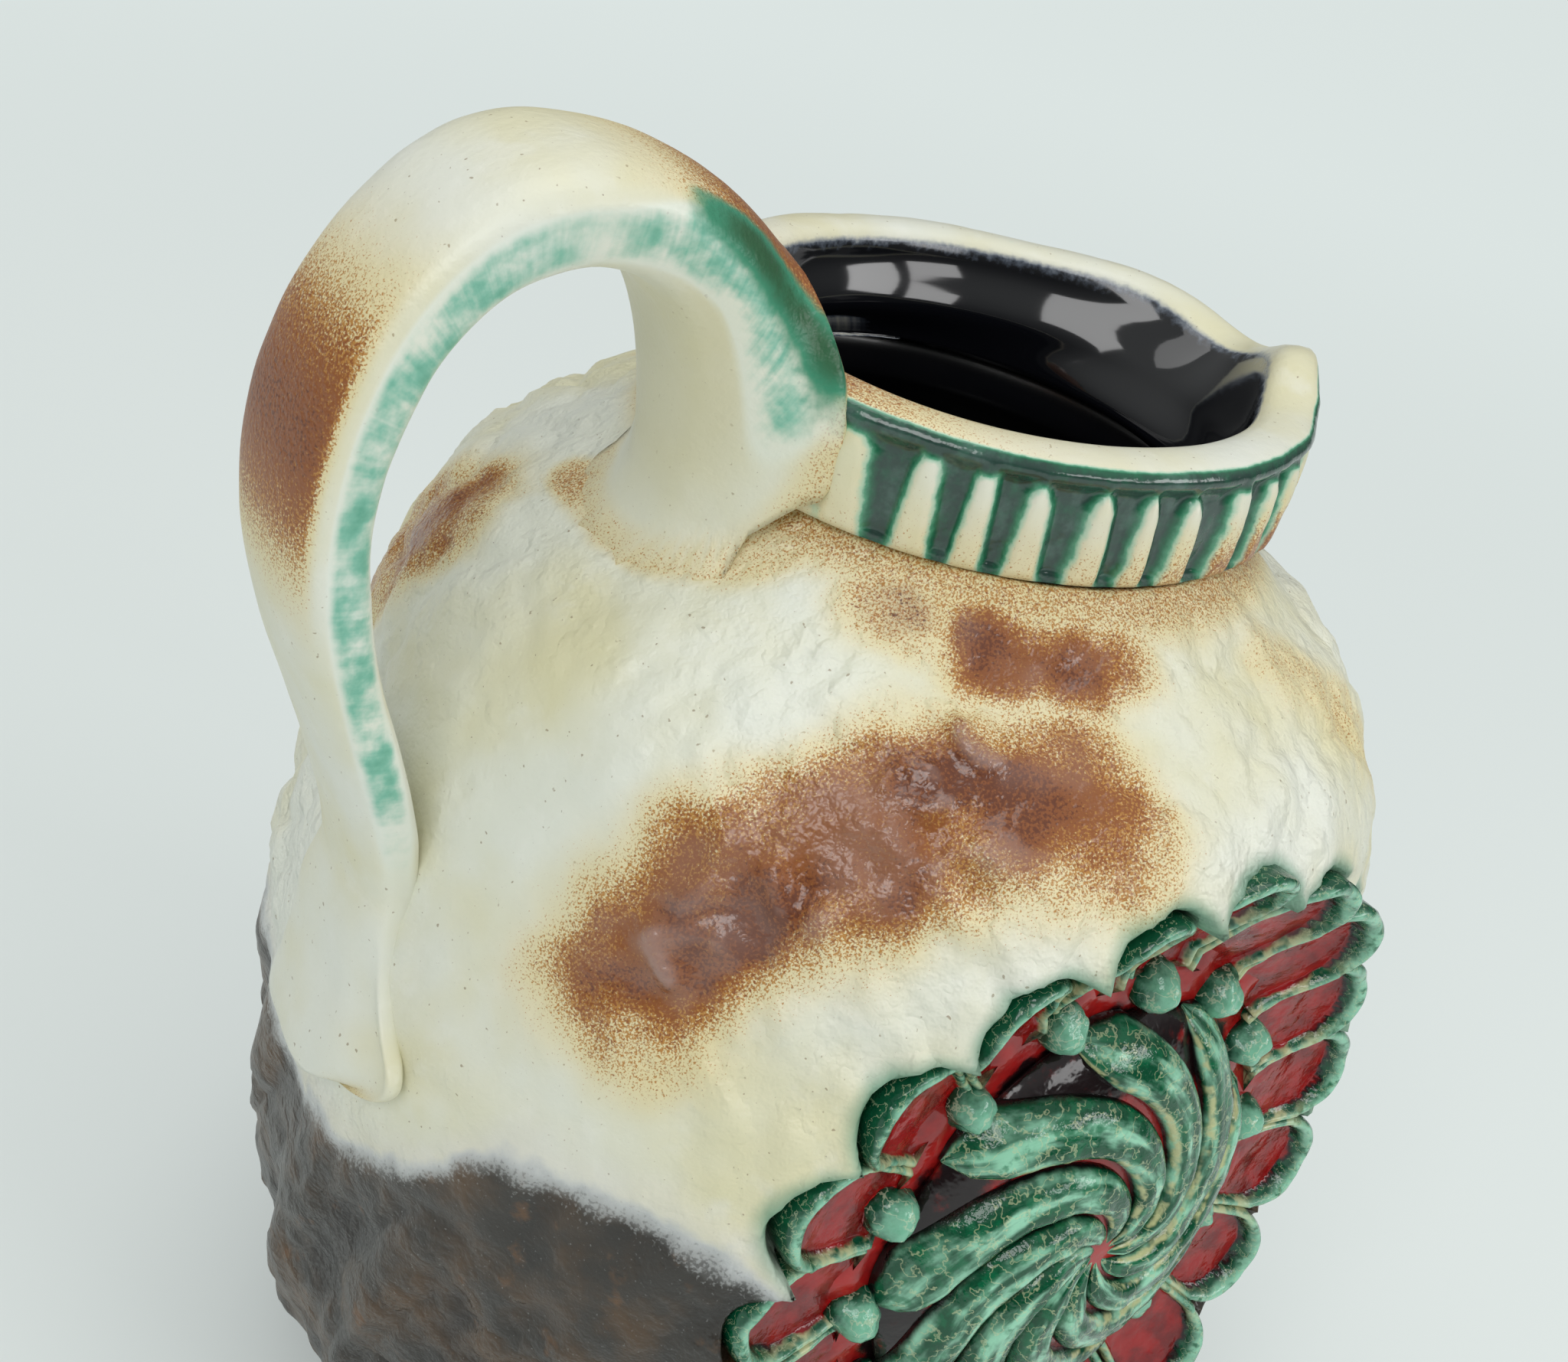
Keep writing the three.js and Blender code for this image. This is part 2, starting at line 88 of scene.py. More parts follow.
def placed(right, up, back, place):
    """A matrix whose columns are three axes and a place in metres."""
    matrix = np.eye(4)
    matrix[:3, :3] = np.column_stack([right, up, back])
    matrix[:3, 3] = place
    return Matrix(matrix.tolist())


camera_data = bpy.data.cameras.new("photo_camera")
camera_data.sensor_fit = "HORIZONTAL"
camera_data.sensor_width = SENSOR
camera_data.lens = SENSOR * FOCAL_PIXELS / IMAGE_WIDTH
camera = bpy.data.objects.new("photo_camera", camera_data)
camera.matrix_world = placed(*camera_axes(), -unit(CAMERA_AIM), CAMERA_PLACE * MM)
bpy.context.scene.collection.objects.link(camera)
bpy.context.scene.camera = camera
print("lens", round(camera_data.lens, 2), "mm")

# %% [markdown]
# Hand-worked clay is never even. Smooth steps and bells place a form, and value noise makes it
# irregular: random numbers on a cubic lattice, joined smoothly. The seeds are fixed, so that every
# run gives the same jug.

# %% Steps, bells and noise
LATTICE = 32


def smooth(value, low, high):
    """0 below low, 1 above high, and the S curve 3t^2 - 2t^3 between them."""
    share = np.clip((value - low) / (high - low), 0, 1)
    return share * share * (3 - 2 * share)


def bell(value):
    """The bell curve e^(-x^2), which is 1 at zero."""
    return np.exp(-np.square(value))


def between(first, second, share):
    """A straight mix of two values."""
    return first + (second - first) * share


def lumps(points, size, seed):
    """Value noise from -1 to 1: lattice numbers a size apart, mixed by smooth steps along x, y and z."""
    table = np.random.default_rng(seed).uniform(-1, 1, (LATTICE, LATTICE, LATTICE))
    place = np.asarray(points) / size
    low = np.floor(place).astype(int)
    part = smooth(place - low, 0, 1)
    total = 0
    for corner in np.ndindex(2, 2, 2):
        x, y, z = np.moveaxis((low + corner) % LATTICE, -1, 0)
        total = total + np.prod(np.where(corner, part, 1 - part), -1) * table[x, y, z]
    return total


def rough(points, size, seed, layers=3):
    """Layers of noise, each half as large and half as high as the one before."""
    return sum(lumps(points, size / 2**k, seed + k) / 2**k for k in range(layers))


print("half way up a step:", smooth(0.5, 0, 1), "and one width from a bell's middle:", round(bell(1.0), 3))

# %% [markdown]
# Every piece here is a stack of rings: a profile turned about an axis, or a section carried along
# a path. One function turns such rings into faces. Each mesh is closed, with a fan over its first
# and last ring or with the last ring joined to the first, and its faces are turned outwards by the
# sign of its volume.

# %% From rings to meshes


def around(count, phase=0.0):
    """Angles evenly round a circle, from a first one."""
    return phase + 2 * np.pi * np.arange(count) / count


def polar(radius, angle, height):
    """Points (r cos a, r sin a, height), with all three spread to one shape."""
    return np.stack(np.broadcast_arrays(radius * np.cos(angle), radius * np.sin(angle), height), -1)


def ring_faces(rows, columns, closed):
    """Four-sided faces between neighbours in the rings; the last ring meets the first if closed."""
    row = np.arange(rows if closed else rows - 1)[:, None] * columns
    above = (row + columns) % (rows * columns)
    here = np.arange(columns)
    after = (here + 1) % columns
    return np.stack([row + here, row + after, above + after, above + here], -1).reshape(-1, 4)


def facing_out(points, faces):
    """The faces, turned round if the volume that they enclose comes out negative."""
    corners = points[np.array([face[:3] for face in faces])]
    other = points[np.array([[face[0], face[-2], face[-1]] for face in faces])]
    volume = np.einsum("ij,ij->", corners[:, 0], np.cross(corners[:, 1], corners[:, 2]))
    square = np.array([len(face) == 4 for face in faces])
    volume += np.einsum("ij,ij->", other[square, 0], np.cross(other[square, 1], other[square, 2]))
    return faces if volume > 0 else [face[::-1] for face in faces]


def shell(rings, tints=None, closed=False):
    """Points, faces and tints of a closed mesh from rings of shape (rows, columns, 3)."""
    rows, columns = rings.shape[:2]
    points = rings.reshape(-1, 3)
    faces = ring_faces(rows, columns, closed).tolist()
    tints = {name: np.broadcast_to(value, (rows, columns)) for name, value in (tints or {}).items()}
    flat = {name: value.reshape(-1) for name, value in tints.items()}
    if not closed:
        here = np.arange(columns)
        after = (here + 1) % columns
        top = (rows - 1) * columns
        first, last = np.full(columns, rows * columns), np.full(columns, rows * columns + 1)
        faces += np.stack([first, after, here], -1).tolist()
        faces += np.stack([last, top + here, top + after], -1).tolist()
        points = np.concatenate([points, [rings[0].mean(0), rings[-1].mean(0)]])
        flat = {name: np.append(flat[name], [value[0].mean(), value[-1].mean()])
                for name, value in tints.items()}
    return points, facing_out(points, faces), flat


def numbered(stem, count):
    """The CAD names of a row of like nodes: stem_01, stem_02 and so on."""
    return [f"{stem}_{number + 1:02d}" for number in range(count)]


def add_piece(name, shells, material, nodes):
    """One object at the origin from one or more shells, riding on the part in place of CAD nodes."""
    points, faces, start = [], [], 0
    for shell_points, shell_faces, _ in shells:
        points.append(shell_points)
        faces += [[start + index for index in face] for face in shell_faces]
        start += len(shell_points)
    mesh = bpy.data.meshes.new(name)
    mesh.from_pydata((np.concatenate(points) * MM).tolist(), [], faces)
    for tint in shells[0][2]:
        values = np.concatenate([tints[tint] for _, _, tints in shells]).astype(np.float32)
        mesh.attributes.new(tint, "FLOAT", "POINT").data.foreach_set("value", values)
    mesh.shade_smooth()
    mesh.materials.append(material)
    piece = bpy.data.objects.new(name, mesh)
    bpy.context.scene.collection.objects.link(piece)
    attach(piece, "root")
    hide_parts(*nodes)
    print(name, len(mesh.vertices), "points,", sum(len(face) - 2 for face in faces), "triangles")


# %% [markdown]
# A glaze is described by sums and products of masks: how much spray, how deep a pool, how thin the
# coat on an edge. This small class wraps a node's socket, so that such sums can be written as
# plain Python, and its one method `make` adds any other node.

# %% Shader maths


class Signal:
    """A socket of a material's nodes; arithmetic on it adds Math nodes."""

    def __init__(self, tree, socket=None):
        self.tree = tree
        self.socket = socket

    def make(self, kind, settings=None, inputs=None, output=0):
        """Adds a node: its settings first, then the values or links of its sockets."""
        node = self.tree.nodes.new(kind)
        for name, value in (settings or {}).items():
            setattr(node, name, value)
        for name, value in (inputs or {}).items():
            if isinstance(value, Signal):
                self.tree.links.new(value.socket, node.inputs[name])
            else:
                node.inputs[name].default_value = value
        return Signal(self.tree, node.outputs[output])

    def math(self, operation, first, second):
        """One operation on two signals or numbers."""
        return self.make("ShaderNodeMath", {"operation": operation}, {0: first, 1: second})

    def __add__(self, other):
        return self.math("ADD", self, other)

    def __sub__(self, other):
        return self.math("SUBTRACT", self, other)

    def __rsub__(self, other):
        return self.math("SUBTRACT", other, self)

    def __mul__(self, other):
        return self.math("MULTIPLY", self, other)

    __radd__ = __add__
    __rmul__ = __mul__

    def off(self, middle):
        """How far the value is from a middle one, to either side."""
        return self.math("ABSOLUTE", self - middle, 0.0)

    def step(self, low, high):
        """0 below low, 1 above high, smooth between."""
        settings = {"interpolation_type": "SMOOTHSTEP"}
        return self.make("ShaderNodeMapRange", settings, {0: self, 1: low, 2: high})

    def tint(self, low, high):
        """A colour between two, by this share."""
        return self.make("ShaderNodeMix", {"data_type": "RGBA"}, {0: self, 6: low, 7: high}, 2)

    def mark(self, name):
        """The value that the mesh carries at each point under this name."""
        return self.make("ShaderNodeAttribute", {"attribute_name": name}, {}, 2)

    def grain(self, size, detail=2.0):
        """Noise from 0 to 1 with features of a size in millimetres, in the object's own place."""
        place = self.make("ShaderNodeTexCoord", output="Object")
        sockets = {"Vector": place, "Scale": 1 / (size * MM), "Detail": detail, "Roughness": 0.55}
        return self.make("ShaderNodeTexNoise", {"normalize": True}, sockets)

    def wobble(self, size, detail, amount):
        """Noise about zero: an amount of grain, half of it below."""
        return (self.grain(size, detail) - 0.5) * amount

    def speck(self, density, size):
        """Sprayed dots: the share of dots follows the density from 0 to 1."""
        return (self.grain(size, 1.0) + density * 0.62).step(0.66, 0.88)

    def veins(self, size, width):
        """Thin lines where a noise crosses its middle, as where a glaze has crazed."""
        return 1 - self.grain(size, 3.0).off(0.5).step(0.0, width)


def paint(red, green, blue):
    """A colour that is read off a screen, 0 to 255, as the linear values that Blender works in."""
    share = np.array([red, green, blue]) / 255
    linear = np.where(share <= 0.04045, share / 12.92, ((share + 0.055) / 1.055) ** 2.4)
    return (*linear.tolist(), 1.0)


def glaze(name, coat_weight=0.0, coat_roughness=0.05):
    """A new material: its first signal and a function that finishes its shader."""
    material = bpy.data.materials.new(name)
    material.use_nodes = True
    tree = material.node_tree
    shader = tree.nodes["Principled BSDF"]
    shader.inputs["Coat Weight"].default_value = coat_weight
    shader.inputs["Coat Roughness"].default_value = coat_roughness

    def finish(colour, roughness, height=None, depth=0.3):
        """Links the colour, the roughness and a bump whose height is in millimetres of depth."""
        tree.links.new(colour.socket, shader.inputs["Base Color"])
        if isinstance(roughness, Signal):
            tree.links.new(roughness.socket, shader.inputs["Roughness"])
        else:
            shader.inputs["Roughness"].default_value = roughness
        if height is not None:
            sockets = {"Strength": 1.0, "Distance": depth * MM, "Height": height}
            bump = height.make("ShaderNodeBump", {}, sockets)
            tree.links.new(bump.socket, shader.inputs["Normal"])
        return material

    return Signal(tree), finish


print("ivory as linear values:", np.round(paint(230, 232, 220)[:3], 3).tolist())

# %% [markdown]
# The body was thrown and then beaten and scratched. Its outline is a smooth curve through the same
# seven points as the CAD part. Uniform Catmull-Rom is used: each span is a cubic whose ends lean
# along the line between the neighbouring points.

# %% The outline of the body
OUTLINE = np.array([(60, 0), (83, 30), (94, 104), (86, 154), (75, 181), (56, 196), (46, 205)], float)
NECK_HEIGHT = OUTLINE[-1, 1]
FINE_STEPS, CURVE_STEPS = 1201, 400


def body_curve(count):
    """Catmull-Rom points of the outline, a steady distance apart, with their outward normals."""
    spans = len(OUTLINE) - 1
    place = np.linspace(0, spans, FINE_STEPS)
    low = np.minimum(place.astype(int), spans - 1)
    t = (place - low)[:, None]
    before, first = OUTLINE[np.maximum(low - 1, 0)], OUTLINE[low]
    second, after = OUTLINE[low + 1], OUTLINE[np.minimum(low + 2, spans)]
    lean_in, lean_out = (second - before) / 2, (after - first) / 2
    bend = 2 * first - 2 * second + lean_in + lean_out
    sway = 3 * second - 3 * first - 2 * lean_in - lean_out
    curve = bend * t**3 + sway * t**2 + lean_in * t + first
    length = np.append(0, np.cumsum(np.hypot(*np.diff(curve, axis=0).T)))
    even = np.linspace(0, length[-1], count)
    points = np.column_stack([np.interp(even, length, axis) for axis in curve.T])
    along = np.gradient(points, axis=0)
    along /= np.linalg.norm(along, axis=1, keepdims=True)
    return points, np.column_stack([along[:, 1], -along[:, 0]]), even


curve_points, curve_normals, curve_length = body_curve(CURVE_STEPS)


def body_radius(height):
    """The outside radius at a height."""
    return np.interp(height, curve_points[:, 1], curve_points[:, 0])


def body_path(height):
    """How far up the outline a height lies, measured along the clay."""
    return np.interp(height, curve_points[:, 1], curve_length)


print("outline length", round(curve_length[-1], 1), "mm")

# %% [markdown]
# The rosette has a frame of its own: across, up and out from the flat seat that it is sunk to. The
# belly falls away to both sides of it, so that the tips of the petals follow a saddle. All pieces
# of the flower are laid out flat in this frame and then carried into place.

# %% The frame of the rosette
ROSETTE_ANGLE = np.radians(-88.5)
ROSETTE_TILT = np.radians(2.4)
ROSETTE_RADIUS = 68.0
ROSETTE_OVAL = 3.5 / 68
SEAT_DISTANCE = 70.0
SEAT_HEIGHT = 105.5
PETALS, PETAL_PHASE = 19, np.radians(11.4)
PETAL_INNER, PETAL_GAP, NOTCH_DEPTH = 47.0, 0.3, 6.5
PETAL_LENGTH = ROSETTE_RADIUS - PETAL_INNER
TIP_RISE, TIP_SADDLE = 7.4, 6.2

rosette_out = np.array([np.cos(ROSETTE_ANGLE), np.sin(ROSETTE_ANGLE), 0])
rosette_across = np.cross([0, 0, 1], rosette_out)
rosette_normal = np.cos(ROSETTE_TILT) * rosette_out + np.sin(ROSETTE_TILT) * np.array([0, 0, 1])
rosette_up = np.cross(rosette_normal, rosette_across)
rosette_seat = SEAT_DISTANCE * rosette_out + np.array([0, 0, SEAT_HEIGHT])
petal_angles = around(PETALS, PETAL_PHASE)
half_step = np.tan(np.pi / PETALS)
TIP_RADIUS = (ROSETTE_RADIUS * half_step - PETAL_GAP) / (1 + half_step)
TIP_CENTRE = ROSETTE_RADIUS - TIP_RADIUS


def to_belly(flat):
    """Points of (across, up, out) on the round flower, made oval and carried to the belly."""
    wide = flat[..., 0:1] * (1 - ROSETTE_OVAL) * rosette_across
    tall = flat[..., 1:2] * (1 + ROSETTE_OVAL) * rosette_up
    return rosette_seat + wide + tall + flat[..., 2:3] * rosette_normal


def from_belly(points):
    """Radius, angle and height of points over the round flower's seat: the reverse of to_belly."""
    offset = points - rosette_seat
    wide = offset @ rosette_across / (1 - ROSETTE_OVAL)
    tall = offset @ rosette_up / (1 + ROSETTE_OVAL)
    return np.hypot(wide, tall), np.arctan2(tall, wide), offset @ rosette_normal


def tip_rise(angle):
    """How far a petal's tip stands out from the seat at an angle: a mean less a saddle of cos 2a."""
    return TIP_RISE - TIP_SADDLE * np.cos(2 * angle)


def petal_offset(angle):
    """The angle to the middle of the nearest petal."""
    step = 2 * np.pi / PETALS
    return (angle - PETAL_PHASE + step / 2) % step - step / 2


def past_flower(radius, angle):
    """Distance outside the flower's edge: round petal tips, with short notches between them."""
    lean = petal_offset(angle)
    tips = np.hypot(radius * np.cos(lean) - TIP_CENTRE, radius * np.sin(lean)) - TIP_RADIUS
    return np.minimum(tips, radius - (ROSETTE_RADIUS - NOTCH_DEPTH))


print("petal tips: radius", round(TIP_RADIUS, 2), "mm, rise from", np.round(tip_rise(petal_angles).min(), 1),
      "to", np.round(tip_rise(petal_angles).max(), 1))

# %% [markdown]
# On the body the colours are zones: a dark slip round the foot with a ragged upper edge, sprayed
# ochre and brown patches on the cream, and green that has bled out of the flower. Each zone is a
# number at every point of the mesh. The patches are thick lines, drawn in degrees round the body
# and heights; the distance to such a line is taken along the clay.

# %% Where the colours lie on the body
SLIP_EDGE = np.array([
    (-180, 94), (-173, 93), (-165, 100), (-160, 106), (-157, 112), (-154, 117), (-146, 119), (-139, 121),
    (-133, 118), (-126, 112), (-110, 104), (-70, 98), (-30, 103), (10, 97), (60, 106), (110, 98),
    (150, 103), (172, 95), (180, 92)], float)
# A patch is its line, the distance that is fully covered, the distance of fading and the density.
SPRAY_PATCHES = [
    ([(-149, 149), (-143, 165), (-129, 181), (-110, 187)], 1.0, 22.0, 1.0),
    ([(-121, 198), (-111, 197.5), (-101, 198.5)], 1.0, 12.0, 0.95),
    ([(-140, 200), (-121, 198.5)], 0.5, 11.0, 0.5),
    ([(144, 150), (149, 166), (157, 181)], 4.0, 16.0, 0.68),
    ([(-66, 196), (-51, 184), (-40, 166)], 1.0, 12.0, 0.4),
    ([(48, 150), (62, 166), (86, 184)], 4.0, 15.0, 0.9),
    ([(112, 198), (94, 199)], 2.5, 9.0, 0.8),
]
ROOT_LINE = [(163, 192), (174, 192.5), (-174, 193.5), (-164, 196), (-157, 200), (-150, 204)]
ROOT_PATCHES = [(ROOT_LINE, 0.5, 6.0, 0.5)]


def turned_from(angle, degrees):
    """The turn from a direction in degrees to each angle, the short way round, in radians."""
    return np.radians((np.degrees(angle) - degrees + 180) % 360 - 180)


def line_distance(angle, path, line):
    """Distance along the clay from points to a line of (degrees, height) corners."""
    nearest = np.full(np.shape(angle), np.inf)
    for (turn_a, height_a), (turn_b, height_b) in zip(line[:-1], line[1:]):
        middle = body_radius((height_a + height_b) / 2)
        turn_b = turn_a + (turn_b - turn_a + 180) % 360 - 180
        x = turned_from(angle, turn_a) * middle
        y = path - body_path(height_a)
        dx = np.radians(turn_b - turn_a) * middle
        dy = body_path(height_b) - body_path(height_a)
        share = np.clip((x * dx + y * dy) / (dx * dx + dy * dy), 0, 1)
        nearest = np.minimum(nearest, np.hypot(x - share * dx, y - share * dy))
    return nearest


def spray_share(angle, path, points, patches):
    """The densest of the patches: full inside the first distance, fading over the second."""
    ragged = 3.2 * rough(points, 15, 41)
    share = np.zeros(np.shape(angle))
    for line, full, fade, amount in patches:
        distance = line_distance(angle, path, line) + ragged * min(1, fade / 8)
        share = np.maximum(share, amount * (1 - smooth(distance, full, full + fade)))
    return np.clip(share * (1 + 0.25 * rough(points, 8, 45)), 0, 1)


def slip_depth(angle, points):
    """Millimetres below the slip's upper edge, which noise has made ragged; negative on the cream."""
    turn = (np.degrees(angle) + 180) % 360 - 180
    edge = np.interp(turn, SLIP_EDGE[:, 0], SLIP_EDGE[:, 1])
    return edge - points[..., 2] + 1.4 * rough(points, 9, 61)


print(len(SPRAY_PATCHES), "patches of spray; the slip's edge lies from", SLIP_EDGE[:, 1].min(), "to",
      SLIP_EDGE[:, 1].max(), "mm")

# %% [markdown]
# The clay itself is beaten into folds and soft lumps, carries short raised worms in the brown
# patch, and is dragged into slanting ridges under the slip. The relief has to be in the mesh, since
# it shows in the outline and in the way the light breaks. The main ridges are a wave round the body
# that turns with the height. Noise on points that are twisted in the same way breaks them up
# without a seam. Where the handle was joined on, the potter wiped the clay smooth.

# %% The relief of the body
RIDGES, RIDGE_HEIGHT, RIDGE_SLANT = 22, 1.2, np.radians(0.23)
RIDGE_FADE, RIDGE_TOP = 28.0, 108.0
WORMS, WORM_SEED, WORM_SCATTER = 16, 83, 7
FOOT_LINE = [(180, 100), (180, 140)]


def ridges(angle, height):
    """A cosine round the body whose phase turns with the height, faded out at both ends."""
    zone = smooth(height, 0, RIDGE_FADE) * (1 - smooth(height, RIDGE_TOP - RIDGE_FADE, RIDGE_TOP))
    return RIDGE_HEIGHT * zone * np.cos(RIDGES * (angle - RIDGE_SLANT * height))


def dragged(points, size, stretch, seed):
    """Puffs with sharp creases along slanting lines: the size of a noise on points turned about z."""
    turn = -RIDGE_SLANT * points[..., 2]
    x = points[..., 0] * np.cos(turn) - points[..., 1] * np.sin(turn)
    y = points[..., 0] * np.sin(turn) + points[..., 1] * np.cos(turn)
    return np.abs(rough(np.stack([x, y, points[..., 2] / stretch], -1), size, seed))


def worms(angle, path, share):
    """Short bent ridges scattered along the brown patch: a round bead along each of some arcs."""
    draw = np.random.default_rng(WORM_SEED)
    height = np.zeros(np.shape(angle))
    line = np.array(SPRAY_PATCHES[0][0], float)
    for _ in range(WORMS):
        where = draw.uniform(0, len(line) - 1.001)
        low = int(where)
        turn, level = between(line[low], line[low + 1], where - low)
        x = turned_from(angle, turn) * body_radius(level) - draw.normal(0, WORM_SCATTER)
        y = path - body_path(level) - draw.normal(0, WORM_SCATTER)
        heading, bend, length = draw.uniform(0, np.pi), draw.uniform(-0.12, 0.12), draw.uniform(1.5, 5)
        ahead = x * np.cos(heading) + y * np.sin(heading)
        aside = y * np.cos(heading) - x * np.sin(heading) - bend * ahead * ahead
        over = np.maximum(np.abs(ahead) - length, 0)
        width = draw.uniform(1.3, 3.0)
        height = np.maximum(height, draw.uniform(1.1, 2.0) * bell(np.hypot(aside, over) / width))
    return height * smooth(share, 0.1, 0.5)


def clay_relief(angle, path, outside, dark, spray, folded):
    """Folds and lumps on the cream, puffs in the dark, worms and ridges, less of all near the joins."""
    folds = np.minimum(np.abs(rough(outside * (1, 1, 0.75), 12, 31)), 0.6) - 0.28
    beaten = 0.5 * rough(outside, 15, 11) + 0.25 * rough(outside, 6, 14) + 3.0 * folds * folded
    drag = 2.4 * np.minimum(dragged(outside, 13, 1.7, 21), 0.7)
    past = np.maximum(from_belly(outside)[0] - ROSETTE_RADIUS, 0)
    near = np.where(outside @ rosette_out > 0, bell(past / 15), 0)
    relief = beaten * (1 - 0.6 * dark) + dark * (drag - 0.9) + worms(angle, path, spray)
    relief += ridges(angle, outside[..., 2]) * (1 - near)
    relief *= smooth(outside[..., 2], 1, 14) * smooth(NECK_HEIGHT - outside[..., 2], 1, 8)
    foot_side = bell(line_distance(angle, path, FOOT_LINE) / 22)
    root_side = bell(line_distance(angle, path, ROOT_LINE) / 15)
    return relief * ((1 - 0.6 * foot_side) * (1 - 0.92 * root_side))


print(RIDGES, "ridges,", RIDGE_HEIGHT, "mm high, and", WORMS, "worms")

# %% [markdown]
# A thrown pot is a profile turned about an axis, and so is its hollow: the outline moved in by the
# wall, with a round corner at the floor. The flower is sunk into the front, so there the hollow is
# held back behind the flower's seat. Columns stand closer together on the decorated side.

# %% Turned forms
WALL, FLOOR, FLOOR_CORNER = 6.0, 8, 10


def close_columns(count, middle, crowd):
    """Angles round the axis whose spacing is widest opposite the middle: q - c sin(q - m)."""
    even = around(count, -np.pi)
    return even - crowd * np.sin(even - middle)


def lathe(profile, angles):
    """Rings from a profile of (radius, height): x = r cos a, y = r sin a, z = height."""
    return polar(profile[:, 0:1], angles, profile[:, 1:2])


def inner_profile(inset, floor, top):
    """The hollow's profile from its top edge down to the floor: the outline moved in by the inset."""
    wall = (curve_points - inset * curve_normals)[::8]
    wall = wall[(wall[:, 1] > floor + FLOOR_CORNER) & (wall[:, 1] < top - 3)][::-1]
    inward = wall[-1, 0] - FLOOR_CORNER * (1 - np.cos(np.linspace(0.2, 1.5, 5)))
    downward = between(wall[-1, 1], floor, np.sin(np.linspace(0.2, 1.57, 5)))
    floor_line = np.column_stack([np.linspace(inward[-1] - 8, 3, 6), np.full(6, floor)])
    return np.concatenate([[(wall[0, 0], top)], wall, np.column_stack([inward, downward]), floor_line])


def behind_seat(rings, inset):
    """Keeps the hollow clear of the sunken flower: no point lies further out than the seat's back."""
    radius, _, out = from_belly(rings)
    limit = -inset + 40 * smooth(radius, ROSETTE_RADIUS + 2, ROSETTE_RADIUS + 22)
    facing = rings @ rosette_out > 0
    return rings + np.where(facing, np.minimum(limit - out, 0), 0)[..., None] * rosette_normal


def hollow_rings(gap, angles):
    """The hollow at a gap inside the clay's own inner face."""
    return behind_seat(lathe(inner_profile(WALL + gap, FLOOR + gap, NECK_HEIGHT), angles), WALL + gap)


print("hollow:", len(inner_profile(WALL, FLOOR, NECK_HEIGHT)), "corners in its profile")

# %% [markdown]
# The body is one shell: the underside, the outside, the neck and the inner wall. Round the flower
# the clay was pushed up to the petals, so it swells there. Just outside the scalloped edge the
# surface drops to the bed that the petals lie in, so that no clay covers their rims.

# %% The body shell
COLUMNS, CROWDED_SIDE, CROWDING = 400, np.radians(-125), 0.33
OUTER_ROWS = 186
SWELL, SWELL_LEAST, SWELL_FADE = 5.6, 1.6, 15.0
BED_DEPTH, FAR_AWAY = 2.5, 99
QUIET_LINE = [(-152, 118), (-162, 165)]
UNDERSIDE = np.array([(8, 0), (25, 0), (42, 0), (54, 0), (57.5, 0), (59.0, 0.15)])


def sink_flower(points):
    """The clay swelled by a bell round the flower and dropped to the bed inside its edge."""
    radius, turn, _ = from_belly(points)
    facing = points @ rosette_out > 0
    swell = between(SWELL_LEAST, SWELL, smooth(-np.cos(turn), -0.6, 0.2))
    swell = np.where(facing, swell * bell(np.maximum(radius - ROSETTE_RADIUS, 0) / SWELL_FADE), 0)
    points = points + swell[..., None] * rosette_out
    radius, turn, out = from_belly(points)
    past = np.where(facing, past_flower(radius, turn), FAR_AWAY)
    share = np.clip((radius - PETAL_INNER) / PETAL_LENGTH, 0, 1.2)
    bed = tip_rise(turn) * share - BED_DEPTH
    inside = smooth(-past, -1.8, 1.0)
    return points + (inside * np.minimum(bed - out, 0))[..., None] * rosette_normal, past


def body_shell():
    """The outside with its relief, swell and bed, joined to the underside and the inner wall."""
    angles = close_columns(COLUMNS, CROWDED_SIDE, CROWDING)
    outline, normals, path = body_curve(OUTER_ROWS)
    outside = lathe(outline, angles)
    angle = np.broadcast_to(angles, outside.shape[:2])
    path = np.broadcast_to(path[:, None], outside.shape[:2])
    slip = slip_depth(angle, outside)
    spray = spray_share(angle, path, outside, SPRAY_PATCHES)
    joins = np.maximum(spray_share(angle, path, outside, ROOT_PATCHES),
                       0.55 * smooth(outside[..., 2], NECK_HEIGHT - 9, NECK_HEIGHT - 2))
    quiet = bell(line_distance(angle, path, QUIET_LINE) / 30)
    folded = np.maximum(1 - quiet, 0.6 * spray)
    relief = clay_relief(angle, path, outside, smooth(slip, -1.5, 2.5), spray, folded)
    points, past = sink_flower(outside + relief[..., None] * lathe(normals, angles))
    marks = {
        "slip": slip, "spray": np.maximum(spray, joins), "flower": np.clip(past, -5, 30),
        "core": smooth(spray + 0.3 * rough(outside, 18, 52), 0.7, 1.1), "relief": relief, "folded": folded,
    }
    under, hollow = lathe(UNDERSIDE, angles), hollow_rings(0, angles)
    ends = ((len(under), len(hollow)), (0, 0))
    tints = {name: np.pad(mark, ends, "edge") for name, mark in marks.items()}
    return shell(np.concatenate([under, points, hollow]), tints)


body_parts = body_shell()
print("body:", len(body_parts[0]), "points, marked with", ", ".join(body_parts[2]))
